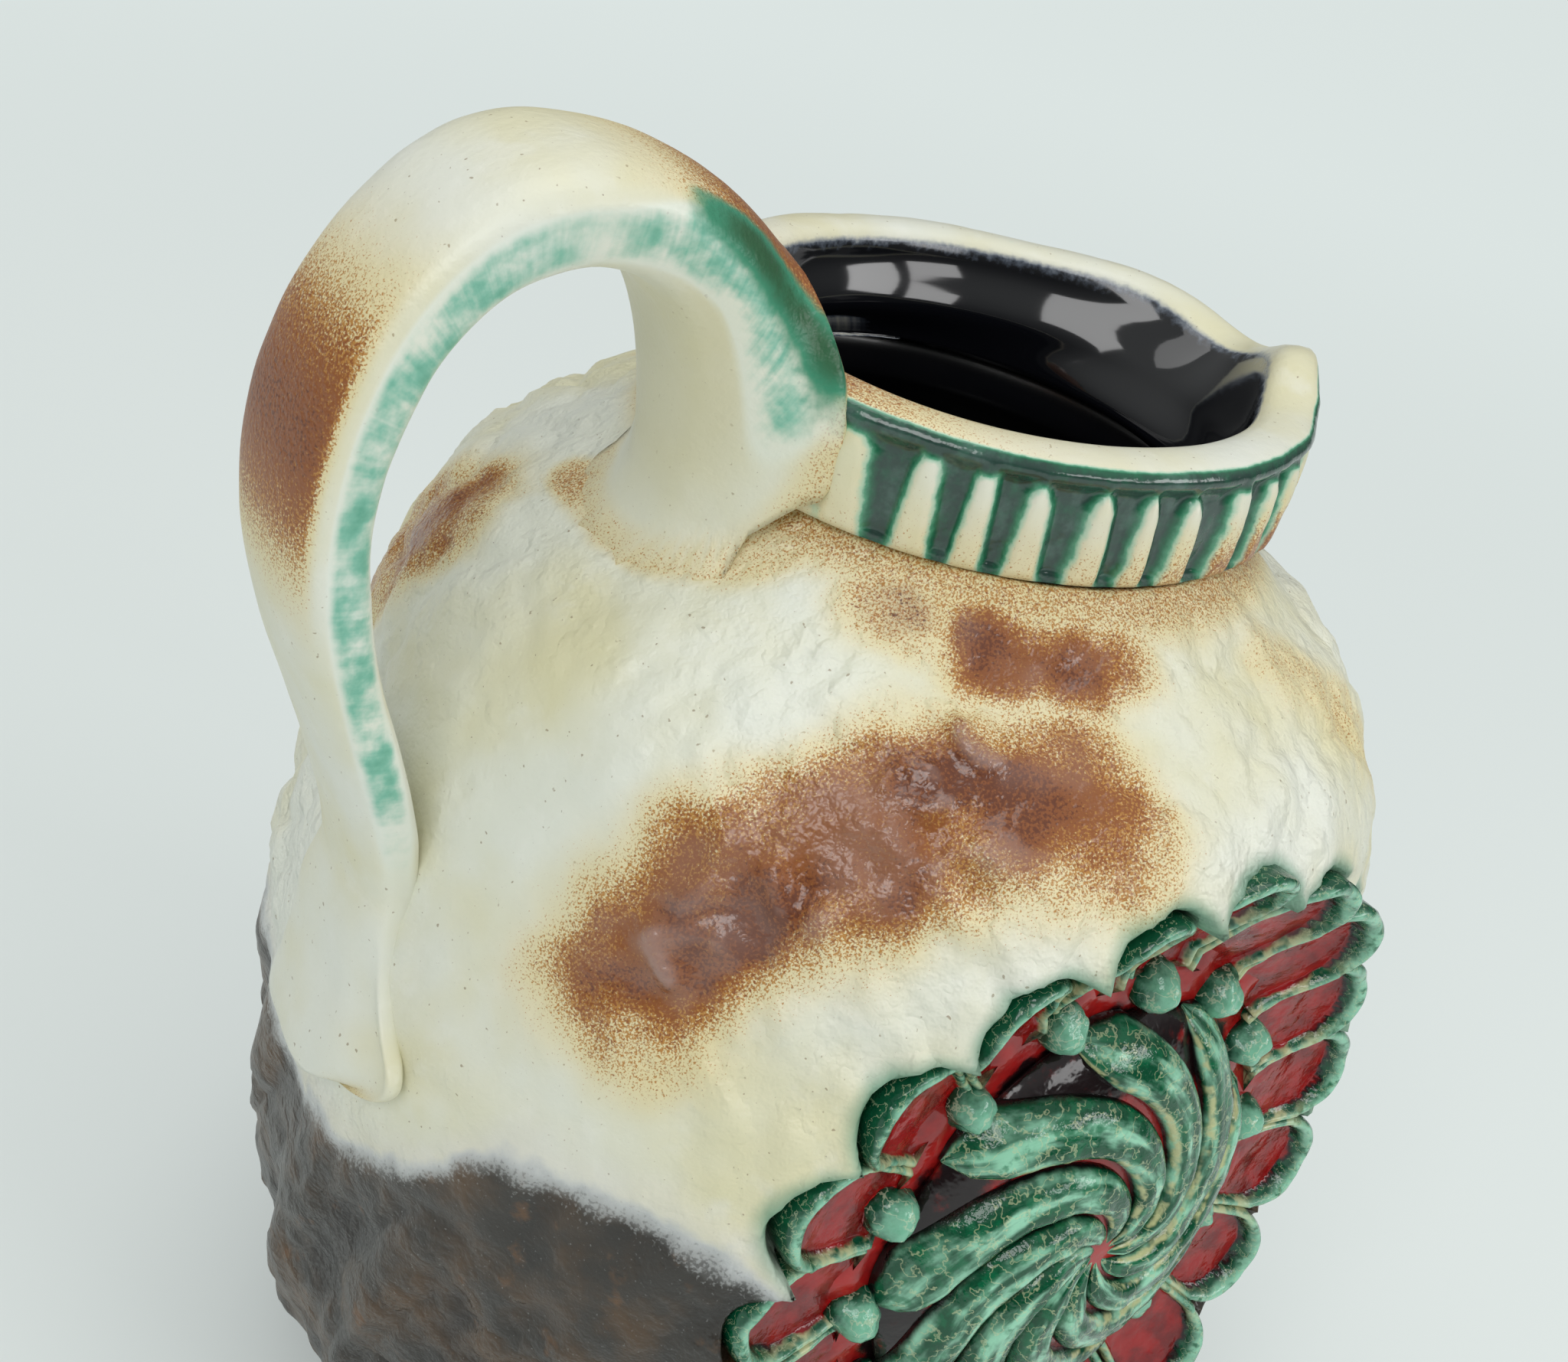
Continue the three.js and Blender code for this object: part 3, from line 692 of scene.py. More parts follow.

# %% [markdown]
# The cream glaze is warm and satin, with iron specks. Ochre and brown were sprayed on it, so their
# edges are dots; where they are thick they are glossier, and a greyish painted sheen lies on them,
# most where the clay stands up. The slip is a dry, dark brown with rust in it, and where the cream
# has run thin over it a bluish white mist is left.
# Green from the flower has bled a little way over the cream.

# %% The body's glaze


def cream_colour(signal):
    """Warm ivory with slow changes of tone and a few iron specks."""
    tone = signal.grain(38, 3.0).step(0.35, 0.7)
    base = tone.tint(paint(230, 232, 220), paint(224, 219, 182))
    pale = signal.grain(7, 3.0).step(0.5, 0.8)
    base = (pale * 0.35).tint(base, paint(240, 241, 232))
    iron = signal.grain(1.0, 1.0).step(0.735, 0.79)
    return (iron * 0.6).tint(base, paint(128, 100, 58))


def sprayed(signal, base, density, core=0.0):
    """Ochre, then brown, then a dark core over a base colour, each as finer or coarser dots."""
    wash = density.step(0.0, 0.5) * 0.8
    colour = wash.tint(base, paint(228, 212, 160))
    colour = signal.speck(density * 1.1 - 0.2, 0.33).tint(colour, paint(184, 132, 66))
    colour = signal.speck(density * 1.2 - 0.45, 0.4).tint(colour, paint(146, 88, 46))
    colour = signal.math("MULTIPLY", core, 0.65).tint(colour, paint(126, 72, 45))
    dots = signal.math("MULTIPLY", core, 0.7) - 0.12
    return signal.speck(dots, 0.5).tint(colour, paint(104, 58, 38))


def sprayed_cream_and_sheen(signal, density, core):
    """Sprayed cream, with a greyish painted sheen where dense spray lies on high clay and in slow clouds."""
    cream = sprayed(signal, cream_colour(signal), density, core)
    # Painted sheen: where dense spray lies on high clay, a grey-mauve tint stands in for the light that the
    # glaze catches.
    painted_sheen_on_raised = signal.mark("relief").step(0.5, 1.8) * density.step(0.5, 0.9)
    cream = (painted_sheen_on_raised * 0.55).tint(cream, paint(172, 146, 138))
    # Painted sheen: slow grey clouds over the densest spray stand in for the glaze's reflection.
    painted_sheen = signal.grain(15, 2.0).step(0.42, 0.62) * density.step(0.55, 0.95)
    return (painted_sheen * 0.25).tint(cream, paint(166, 140, 132))


def slip_colour(signal, edge):
    """Dark earth with painted shade that darkens its hollows nearly to black, with rust, under a mist of
    cream along the edge.
    """
    earth = signal.grain(16, 4.0).step(0.4, 0.68)
    dark = earth.tint(paint(50, 46, 41), paint(84, 63, 41))
    # Painted shade: the low places of the relief are darkened nearly to black.
    hollow = 1 - signal.mark("relief").step(-1.6, 0.2)
    dark = (hollow * 0.85).tint(dark, paint(24, 21, 19))
    rust = signal.grain(6.5, 4.0).step(0.6, 0.74)
    dark = (rust * 0.5).tint(dark, paint(122, 84, 48))
    mist = (1 - edge.step(0.0, 5.5)) * 0.7 + signal.speck(1 - edge.step(-2.0, 8.0), 0.6) * 0.3
    return mist.tint(dark, paint(198, 201, 200))


def body_glaze():
    """Cream above the slip's edge and earth below it, with green by the flower and creases in folds."""
    signal, finish = glaze("cream_glaze")
    density, core = signal.mark("spray"), signal.mark("core")
    cream = sprayed_cream_and_sheen(signal, density, core)
    bleed = (1 - signal.mark("flower").step(1.0, 4.2)) * 0.85
    green = signal.grain(5, 2.0).tint(paint(38, 112, 82), paint(120, 178, 150))
    cream = bleed.tint(cream, green)
    edge = signal.mark("slip") + signal.wobble(5, 4.0, 5.0)
    fade = (edge + 9.0).step(0.0, 9.0) * 0.45
    cream = fade.tint(cream, paint(222, 219, 212))
    zone = edge.step(-1.5, 1.5)
    colour = zone.tint(cream, slip_colour(signal, edge))
    gloss = 0.42 - density.step(0.3, 0.9) * 0.16 - core * 0.08 - zone * 0.13 + signal.wobble(5, 2.0, 0.12)
    creases = signal.grain(8.0, 4.0).off(0.5) * signal.mark("folded")
    height = (signal.grain(1.3, 3.0) * 0.4 + signal.grain(4.0, 2.0)) * (1 - density * 0.5)
    height = height + creases * 8.0 * (1 - core * 0.5)
    return finish(colour, gloss, height, 0.3)


add_piece("body_shell", [body_parts], body_glaze(), ["body"])

# %% [markdown]
# Black glaze was poured into the jug and out again. It is a thin glossy coat on the inner wall, so
# it is the hollow's own form twice, a small gap and a coat further in, joined at the neck.

# %% The inner coat
COAT_GAPS = (0.4, 1.4)
COAT_COLUMNS = 144


def inner_coat():
    """The outer face from the floor up to the neck, then the inner face back down."""
    angles = close_columns(COAT_COLUMNS, 0, 0)
    outer, inner = (hollow_rings(gap, angles) for gap in COAT_GAPS)
    return shell(np.concatenate([outer[::-1], inner]))


def black_glaze():
    """Nearly black, with slow clouds of a slightly paler black, under a thin clear coat."""
    signal, finish = glaze("black_glaze", 0.2, 0.1)
    cloud = signal.grain(12, 3.0).step(0.4, 0.8)
    return finish(cloud.tint(paint(20, 21, 25), paint(28, 28, 31)), 0.3)


add_piece("inner_coat", [inner_coat()], black_glaze(), ["inner_glaze"])

# %% [markdown]
# The collar is an oval ring that stands on the neck and is drawn out to a pouring lip. Flutes were
# cut down its outside, and the green glaze ran off the rim and pooled in them, leaving cream bars
# with round heads. Its section is a closed line of (how far out, how high), carried round the ring;
# the flutes and the lip move that section in and out.

# %% The collar
COLLAR_RADIUS, COLLAR_BOTTOM, COLLAR_HEIGHT = 49.6, 205.3, 19.3
COLLAR_SHIFT, OVAL = 2.5, 3.0
NECK_BORE = 38.4
FLUTES, FLUTE_COLUMNS, FLUTE_DEPTH = 33, 16, 2.2
LIP_REACH, LIP_ANGLE = 9.0, np.radians(20)


def collar_section():
    """Corners as (out, rise): from the inner foot out, up, over the rim and down the inside."""
    bottom = [(-9.6, 0.0), (-6, -0.01), (-2, 0.0), (-0.7, 0.015), (-0.1, 0.06)]
    outside = [(0, rise) for rise in np.linspace(0.1, 0.84, 26)]
    rim = [(-0.1, 0.88), (-0.35, 0.915), (-0.8, 0.95), (-1.5, 0.975), (-2.5, 0.992), (-4.8, 1.0),
           (-7.0, 0.995), (-8.3, 0.975), (-9.1, 0.945), (-9.6, 0.9)]
    inside = [(-9.8 - 3.4 * smooth(t, 0, 0.6), 0.88 * (1 - t) - 0.02) for t in np.linspace(0.05, 1, 16)]
    return np.array(bottom + outside + rim + inside)


def flute_share(angle, rise):
    """1 in the green pools and 0 on the cream bars: the bars narrow upwards and end in round heads."""
    wander = 0.12 * np.sin(3.0 * angle + 0.5) + 0.08 * np.sin(11.0 * angle) + 0.1 * (rise - 0.5)
    phase = np.abs((angle * FLUTES / (2 * np.pi) + wander + 0.5) % 1 - 0.5) * 2
    head = 0.70 + 0.05 * np.sin(5 * angle + 1) + 0.03 * np.sin(13 * angle)
    bar = between(0.62, 0.4, np.clip(rise / head, 0, 1)) * np.sqrt(np.clip((head + 0.1 - rise) / 0.14, 0, 1))
    return smooth(phase - bar, -0.3, 0.3)


def rim_lift(angle):
    """The rim is pinched up on the near side of the lip, less on the far side, and dips between."""
    turn = np.degrees(angle)
    return 4.4 * bell((turn + 21) / 12) + 1.0 * bell((turn - 26) / 14) - 3.5 * bell((turn - 2) / 10)


def collar_tints(angle, out, rise, pool):
    """Shares of pooled green, rust, black inside, height and nearness to the handle."""
    under_rim = smooth(rise, 0.72, 0.84) * (1 - smooth(rise, 0.94, 0.985)) * smooth(out, -2.2, -0.7)
    pooled = pool * smooth(out, -1.5, -0.5) * (1 - smooth(rise, 0.86, 0.95))
    return {
        "pool": np.maximum(pooled, under_rim),
        "rust": between(0.35, 1.1, bell((angle + np.radians(50)) / np.radians(45))),
        "inside": smooth(-out, 8.6, 10.2) * (1 - smooth(rise, 0.93, 0.99)),
        "rise": np.clip(rise, 0, 1),
        "root": bell((np.abs(angle) - np.pi) / np.radians(50)),
    }


def collar_rings():
    """The section on an oval, pushed out by the lip, cut in by the flutes and narrowed to the bore."""
    section = collar_section()
    angles = close_columns(FLUTES * FLUTE_COLUMNS, 0, 0)
    out, rise = section[:, 0:1], section[:, 1:2]
    angle = np.broadcast_to(angles, (len(section), len(angles)))
    pool = flute_share(angle, rise) * (1 - smooth(np.abs(angle), np.radians(147), np.radians(161)))
    wall = smooth(out, -1.2, -0.2) * smooth(rise, 0.0, 0.06) * (1 - smooth(rise, 0.72, 0.9))
    lip = LIP_REACH * bell(angle / LIP_ANGLE) * np.clip(rise, 0, 1) ** 2
    radius = COLLAR_RADIUS + out + OVAL * np.cos(2 * angle) + lip
    height = COLLAR_BOTTOM + COLLAR_HEIGHT * rise + rim_lift(angle) * np.clip(rise, 0, 1) ** 3
    shift = (COLLAR_SHIFT, 0, 0)
    uneven = rough(polar(radius, angle, height) + shift, 9, 91)
    uneven = 0.35 * uneven * np.clip(rise * 4, 0, 1) * (1 - smooth(-out, 6, 9))
    bulge = 0.5 * np.sin(np.pi * np.clip(rise, 0, 1)) * smooth(out, -1.2, -0.2)
    rings = polar(radius - FLUTE_DEPTH * wall * pool + uneven + bulge, angle, height) + shift
    funnel = smooth(-out, 9.7, 13.0) * (1 - smooth(rise, 0.0, 0.4))
    rings = between(rings, polar(NECK_BORE, angle, height), funnel[..., None])
    return shell(rings, collar_tints(angle, out, rise, pool), closed=True)


def collar_glaze():
    """Green by the depth of its pool on rusty cream, milky in clouds, and black down the inside."""
    signal, finish = glaze("collar_glaze", 0.25, 0.08)
    rise = signal.mark("rise")
    low = (1 - rise.step(0.05, 0.85)) * signal.mark("rust") * 0.8
    cream = sprayed(signal, cream_colour(signal), low + signal.mark("root") * rise.step(0.8, 0.95) * 0.75)
    edge = signal.mark("pool") + signal.wobble(2.2, 3.0, 0.55)
    green = edge.step(0.4, 0.8).tint(paint(96, 168, 134), paint(30, 104, 72))
    green = edge.step(0.7, 1.05).tint(green, paint(40, 66, 58))
    milk = signal.grain(4.5, 4.0).step(0.5, 0.8)
    green = (milk * 0.45).tint(green, paint(100, 132, 122))
    cream = (edge.step(0.08, 0.4) * 0.8).tint(cream, paint(168, 210, 184))
    outside = edge.step(0.34, 0.52).tint(cream, green)
    dark = signal.mark("inside") + signal.wobble(1.4, 3.0, 0.5)
    mist = dark.step(0.15, 0.75).tint(outside, paint(120, 132, 150))
    colour = dark.step(0.45, 0.85).tint(mist, paint(12, 13, 17))
    gloss = 0.42 - edge.step(0.3, 0.7) * 0.28 - dark.step(0.4, 0.9) * 0.34
    return finish(colour, gloss, signal.grain(1.5, 2.0) * (1 - dark.step(0.3, 0.6)), 0.12)


add_piece("fluted_collar", [collar_rings()], collar_glaze(), ["neck_collar"])

# %% [markdown]
# The handle is a strap of clay that leaves the rim, arches out and comes down on the belly in a
# spoon. Its upper and lower lines are four cubic curves each: the rise from the root, the arch, the
# drop and the foot on the belly. The lower one starts far down, which makes a trumpet of the root.

# %% The lines of the handle
FOOT_HEIGHTS = (138.0, 102.0)


def cubic(corners, t):
    """A cubic Bezier curve of four corners at shares t."""
    a, b, c, d = (np.array(corner, float) for corner in corners)
    t = t[:, None]
    return a * (1 - t) ** 3 + 3 * b * t * (1 - t) ** 2 + 3 * c * t * t * (1 - t) + d * t**3


def joined(pieces, along):
    """Curves one after another, each over an equal share of the way."""
    place = np.clip(along * len(pieces), 0, len(pieces) - 1e-9)
    number = place.astype(int)
    found = [cubic(piece, place - number) for piece in pieces]
    return np.choose(number[:, None], found)


def strap_line(along, rising, over, side, lift):
    """The four curves as (out, height); the last runs down the belly at a lift from its outline."""
    heights = np.linspace(*FOOT_HEIGHTS, 4)
    foot = np.column_stack([body_radius(heights) + lift, heights])
    arch = [rising[-1], *over, side]
    down = [side, (side[0], 181.3), (between(foot[0, 0], side[0], 0.2), 161.3), foot[0]]
    return joined([rising, arch, down, foot], along)


def crown_line(along):
    """The upper line of the strap."""
    rising = [(40.5, 226.6), (49.5, 242.7), (64.3, 250.6), (81.6, 250.6)]
    return strap_line(along, rising, [(101.3, 250.6), (115.5, 231.3)], (115.5, 204.6), 4)


def lower_line(along):
    """The underside of the strap: it flares into a trumpet at the root."""
    rising = [(56.0, 186.0), (60, 207), (57, 236.0), (81.6, 237.1)]
    return strap_line(along, rising, [(95.2, 237.1), (105, 223.5)], (105.0, 204.6), -4)


print("top of the strap:", crown_line(np.linspace(0, 1, 101))[:, 1].max().round(1), "mm")

# %% [markdown]
# At every place along the strap a rounded box is stretched between the two lines. Its width flares
# at the root and at the foot. Near the shoulder it opens further by a fillet, as wet clay does when
# a thumb smooths the join. The foot is dished, leans to the near side and ends round.

# %% The shape of the handle
HANDLE_WIDTH, FILLET = 26.0, 7.5
HANDLE_ROWS, HANDLE_COLUMNS = 190, 72


def strap_width(along, through):
    """The strap's width: a trumpet under the root, a wider spoon at the foot, and a round end."""
    root = between(-4 * bell(along / 0.2), 12 * bell(along / 0.2), smooth(through, -0.8, 0.7))
    foot = 16 * bell((along - 0.97) / 0.11) - 3 * bell((along - 0.74) / 0.06)
    end = np.clip(1 - (1 - along) / 0.06, 0, 1)
    return (HANDLE_WIDTH + root + foot) * (1 - 0.96 * end**3) ** 0.45


def strap_places(along, across, through):
    """Places between the lines as (out, height), crowned on top and dished in the spoon, and the way out."""
    upper, lower = crown_line(along), lower_line(along)
    places = between(lower[:, None], upper[:, None], ((through + 1) / 2)[..., None])
    outward = upper - lower
    outward /= np.linalg.norm(outward, axis=1, keepdims=True)
    spoon = smooth(along, 0.74, 0.9)[:, None]
    tail = smooth(along, 0.86, 0.97)[:, None]
    hollow = between(2.4 * across**2 - 1.2, 0.6 - 0.6 * across**2, tail)
    hollow = hollow - 4.2 * smooth(-across, 0.3, 1) - 1.2 * smooth(across, 0.3, 1)
    crown = between(1.2 * (1 - across**2), hollow, spoon)
    return places + (smooth(through, 0.3, 1.0) * crown)[..., None] * outward[:, None], outward


def flared(places, along, across, through):
    """The section opened by a quarter circle near the shoulder or collar, and the nearness to them."""
    half = strap_width(along[:, None], through) / 2
    level = places[..., 1]
    radius = np.hypot(places[..., 0], across * half)
    upright = smooth(level, 200, 212)
    past = (radius - np.maximum(body_radius(level), 50)) * between(0.65, 1, upright)
    close = np.clip(1 - past / FILLET, 0, 1) * (1 - smooth(along, 0.14, 0.25))[:, None]
    fillet = FILLET * (1 - np.sqrt(1 - close**2))
    out = places[..., 0] + fillet * np.maximum(-through, 0)
    side = across * (half + fillet) - 5.0 * smooth(along, 0.8, 0.93)[:, None]
    spread = np.hypot(out, side)
    fall = (spread - radius) * between(0.7, 0, upright)
    back = between(1, radius / spread, upright * (close > 0))
    out, side = out * back, side * back
    slant = (0.3 * side + 0.2) * smooth(along, 0.84, 0.97)[:, None]
    return np.stack([-out, side, level - fall - slant], -1), close


def handle_sections():
    """Where each point lies along, across and through the strap: powers of cos and sin make a box."""
    along = np.linspace(0, 1, HANDLE_ROWS)
    turn = 2 * np.pi * (np.arange(HANDLE_COLUMNS) + 0.5) / HANDLE_COLUMNS
    power = (between(0.95, 0.5, smooth(along, 0.03, 0.24)) + 0.3 * smooth(along, 0.78, 0.9))[:, None]
    return along, *(np.sign(wave) * np.abs(wave) ** power for wave in (np.cos(turn), np.sin(turn)))


strap_along, strap_across, strap_through = handle_sections()
places, outward = strap_places(strap_along, strap_across, strap_through)
handle_points, strap_close = flared(places, strap_along, strap_across, strap_through)
ways = [-outward[:, None, 0] * strap_through, strap_across, outward[:, None, 1] * strap_through]
handle_points = handle_points + 0.35 * rough(handle_points, 22, 131)[..., None] * np.stack(ways, -1)
print("strap:", HANDLE_WIDTH, "mm wide, and", strap_width(0.93, 0).round(1), "mm at the spoon")

# %% [markdown]
# Brown was sprayed across the arch in two places, and ochre along the joins. A broad brush put teal
# on both edges, in short strokes, and deep green ran down from the rim at the root.

# %% The handle's glaze
BAND_PLACES = [0.0, 0.15, 0.25, 0.5, 0.65, 0.8]
BAND_MIDDLES = [0.5, 0.45, -0.1, -0.25, 0.05, 0.2]


def handle_tints(along, across, through, close):
    """Shares of spray, of its dark core, of the teal band, of deep green and of the painted shade under the
    root.
    """
    edge = np.abs(across)
    spray = np.maximum(bell((along - 0.47) / 0.075), 0.9 * smooth(0.29 - along, 0, 0.19))
    spray = smooth(through, 0.35, 0.95) * spray * (1 - 0.8 * smooth(edge, 0.8, 1.0))
    spray = np.maximum(spray, 0.42 * smooth(close, 0.62, 1.0))
    spray = np.maximum(spray, 0.38 * bell((along - 1) / 0.03) * smooth(-across, 0.1, 0.8))
    middle = np.interp(along, BAND_PLACES, BAND_MIDDLES)
    band = smooth(edge, 0.8, 0.95) * (1 - smooth(np.abs(through - middle), 0.3, 0.8))
    length = smooth(along, 0.01, 0.06) * (1 - smooth(along, 0.64, 0.76))
    length = length * (1 - 0.5 * bell((along - 0.26) / 0.05))
    deep = smooth(edge, 0.5, 0.8) * smooth(through, 0.1, 0.75)
    deep = deep * (1 - smooth(along, 0.13, 0.24)) * smooth(along, 0.0, 0.05)
    # Painted shade: the underside of the trumpet under the root, away from the joins, is marked for
    # darkening.
    painted_throat_shade = (1 - smooth(along, 0.12, 0.26)) * (1 - close) * smooth(-through, -0.3, 0.5)
    return {"spray": spray, "core": 0.8 * smooth(spray, 0.8, 1.1), "teal": band * length, "deep": deep,
            "along": along, "painted_throat_shade": painted_throat_shade}


def handle_glaze():
    """Sprayed cream with painted shade under the root, then milk, teal and green by how wet the brush was:
    strokes and clouds of noise.
    """
    signal, finish = glaze("handle_glaze")
    spray, teal = signal.mark("spray"), signal.mark("teal")
    # Painted shade: the cream under the root is darkened and yellowed as if the strap shaded it.
    cream = (signal.mark("painted_throat_shade") * 0.8).tint(cream_colour(signal), paint(212, 207, 176))
    base = sprayed(signal, cream, spray, signal.mark("core"))
    sockets = {"W": signal.mark("along") * 34.0, "Detail": 2.0}
    strokes = signal.make("ShaderNodeTexNoise", {"noise_dimensions": "1D"}, sockets)
    cloud = signal.grain(6.0, 4.0) - 0.5
    wet = teal * ((strokes - 0.5) * 0.4 + cloud * 2.8 + 0.8)
    milk = teal.step(0.0, 0.3) * 0.7
    colour = milk.tint(base, paint(232, 238, 228))
    colour = (wet.step(0.15, 1.0) * 0.9).tint(colour, paint(112, 188, 164))
    colour = (wet.step(0.75, 1.5) * 0.8).tint(colour, paint(66, 152, 124))
    green = signal.mark("deep") + cloud * 0.7
    colour = green.step(0.15, 0.6).tint(colour, paint(58, 140, 108))
    colour = green.step(0.5, 1.0).tint(colour, paint(44, 92, 58))
    gloss = 0.38 + signal.wobble(6, 2.0, 0.1)
    return finish(colour, gloss, signal.grain(1.6, 2.0) + spray * signal.grain(0.8, 1.0), 0.15)


handle_marks = handle_tints(strap_along[:, None], strap_across, strap_through, strap_close)
handle_parts = shell(handle_points, handle_marks)
add_piece("strap_handle", [handle_parts], handle_glaze(), ["handle"])

# %% [markdown]
# The ground of the flower is a shallow red dish. It shows between the beads and runs up between
# the petals, so it is a disc of rings with a slow wave round its edge.

# %% The ground of the flower
GROUND_COLUMNS = 190


def ground_rings():
    """Rings out over the top and back underneath; the edge waves once for each petal and rises with them."""
    radius = np.concatenate([np.linspace(2, 51, 34), [51.6, 51.6, 40, 20, 4]])[:, None]
    turn = around(GROUND_COLUMNS)
    top = (np.arange(len(radius)) < 35)[:, None]
    ridge = 0.9 * np.cos(PETALS * (turn - PETAL_PHASE)) * smooth(radius, 38, 47)
    rise = tip_rise(turn) * np.clip((radius - PETAL_INNER) / PETAL_LENGTH, 0, 1)
    out = np.where(top, 2.0 + ridge + rise - 1.9 * smooth(radius, 42, 51), -1.2 + rise)
    flat = polar(radius, turn, out)
    flat[..., 2] += 0.35 * rough(flat, 7, 151) * top
    return shell(to_belly(flat), {"pool": bell((radius - 37.5) / 3.5)})


def crimson_glaze():
    """Red in two tones, nearly black where it has pooled."""
    signal, finish = glaze("crimson_glaze")
    tone = signal.grain(6, 3.0).step(0.35, 0.75)
    red = tone.tint(paint(170, 30, 28), paint(126, 14, 16))
    pool = (signal.mark("pool") + signal.wobble(4, 3.0, 1.4)).step(0.55, 1.0)
    return finish(pool.tint(red, paint(24, 12, 14)), 0.12, signal.grain(2.5, 2.0), 0.15)


crimson = crimson_glaze()
add_piece("rosette_bed", [ground_rings()], crimson, ["rosette_ground"])

# %% [markdown]
# A petal is a spoon: a thick green rim round a hollow that is filled with red. It is a height over
# a tongue-shaped plan, carried along the petal from its inner end to its tip. The height depends on
# the distance to the plan's edge: half a circle over the rim, then the floor. Nineteen of them
# differ a little in height and lean, as hand-pressed ones do.

# %% The petals
PETAL_BODY_ROWS, PETAL_TIP_ROWS, PETAL_TOP, PETAL_UNDER = 24, 20, 41, 9
PETAL_SEED = 19


def turned(x, y, angle, out):
    """A piece that lies along x, turned about the flower's middle: x cos a - y sin a, x sin a + y cos a."""
    return np.stack([x * np.cos(angle) - y * np.sin(angle), x * np.sin(angle) + y * np.cos(angle), out], -1)


def petal_plan():
    """Rows along the tongue, closer at its tip, and how wide half of it is at each."""
    body = np.linspace(PETAL_INNER - 3, TIP_CENTRE, PETAL_BODY_ROWS, endpoint=False)
    tip = TIP_CENTRE + TIP_RADIUS * np.sin(np.linspace(0, 0.5 * np.pi, PETAL_TIP_ROWS))
    along = np.append(body, tip)
    straight = (TIP_RADIUS + 0.4) * along / TIP_CENTRE
    rounded = np.sqrt(np.maximum(TIP_RADIUS**2 - np.maximum(along - TIP_CENTRE, 0) ** 2, 0.02))
    return along, np.where(along < TIP_CENTRE, straight, rounded)


def petal_rings(angle, draw):
    """The floor plus half a circle over the rim's width, rising to the tip; the underside is flat."""
    along, half = petal_plan()
    share = np.clip((along - PETAL_INNER) / PETAL_LENGTH, 0, 1)[:, None]
    over = np.sin(np.linspace(-0.5 * np.pi, 0.5 * np.pi, PETAL_TOP))
    across = np.append(over, np.linspace(0.94, -0.94, PETAL_UNDER))
    x = np.broadcast_to(along[:, None], (len(along), len(across)))
    y = across * half[:, None]
    edge = np.where(x > TIP_CENTRE, TIP_RADIUS - np.hypot(x - TIP_CENTRE, y), half[:, None] - np.abs(y))
    rim_width = between(1.7, 3.4, smooth(share, 0.4, 0.95))
    rim_height = between(1.8, 2.9, smooth(share, 0.2, 0.9)) * draw.uniform(0.88, 1.12)
    place = np.clip(np.maximum(edge, 0) / rim_width, 0, 3)
    rim = np.sqrt(np.maximum(1 - (2 * np.minimum(place, 1) - 1) ** 2, 0)) ** 0.9
    floor = 1.6 + 0.4 * share - 1.0 * (1 - across**2) * smooth(share, 0.1, 0.5)
    top = np.arange(len(across)) < PETAL_TOP
    out = np.where(top, floor + rim_height * rim, -1.5) + tip_rise(angle) * share
    lean = angle + draw.normal(0, 0.012)
    stretch = 1 + draw.normal(0, 0.012)
    flat = turned(stretch * x, stretch * y, lean, out)
    flat[..., 2] += 0.3 * rough(flat, 5, 171) * top
    return shell(to_belly(flat), {"edge": place, "share": share, "side": np.where(top, rim, 0)})


def petal_glaze():
    """Red floor, dark along the rim's foot, and green rims, paler on top, crazed and thin at the root."""
    signal, finish = glaze("petal_glaze")
    edge, side, share = signal.mark("edge"), signal.mark("side"), signal.mark("share")
    wobble = signal.wobble(3.0, 3.0, 0.5)
    red = signal.grain(5, 3.0).step(0.35, 0.7).tint(paint(160, 18, 20), paint(112, 8, 12))
    dark = (1 - (edge + wobble * 1.6).step(1.05, 1.3)) * (share + wobble).step(0.2, 0.6)
    floor = dark.tint(red, paint(18, 12, 12))
    green = (side + wobble * 2.0).step(0.4, 1.15).tint(paint(4, 74, 48), paint(146, 206, 176))
    green = (signal.grain(2.4, 4.0).step(0.5, 0.66) * 0.85).tint(green, paint(4, 92, 58))
    craze = signal.veins(2.2, 0.02) * 0.45
    green = craze.tint(green, paint(196, 208, 168))
    thin = (1 - share.step(0.3, 0.75)) * signal.grain(3.0, 2.0).step(0.38, 0.6) * 0.7
    green = thin.tint(green, paint(208, 200, 150))
    zone = (edge + wobble * 1.3).step(0.92, 1.08)
    return finish(zone.tint(green, floor), 0.12, signal.grain(1.8, 3.0), 0.22)


petal_draw = np.random.default_rng(PETAL_SEED)
petals = [petal_rings(angle, petal_draw) for angle in petal_angles]
add_piece("rosette_petals", petals, petal_glaze(), numbered("petal", PETALS))

# %% [markdown]
# Fourteen beads stand between the petals and the whirl. They were pressed on by hand and are a
# little faceted, so each is a dome of rings with its own seeded lumps.

# %% The beads
BEADS, BEAD_PHASE, BEAD_CIRCLE = 14, np.radians(9), 42.5
BEAD_LONG, BEAD_WIDE, BEAD_HIGH, BEAD_FOOT = 4.5, 4.0, 5.8, 1.4
BEAD_COLUMNS, BEAD_ROWS, BEAD_SEED = 26, 12, 201


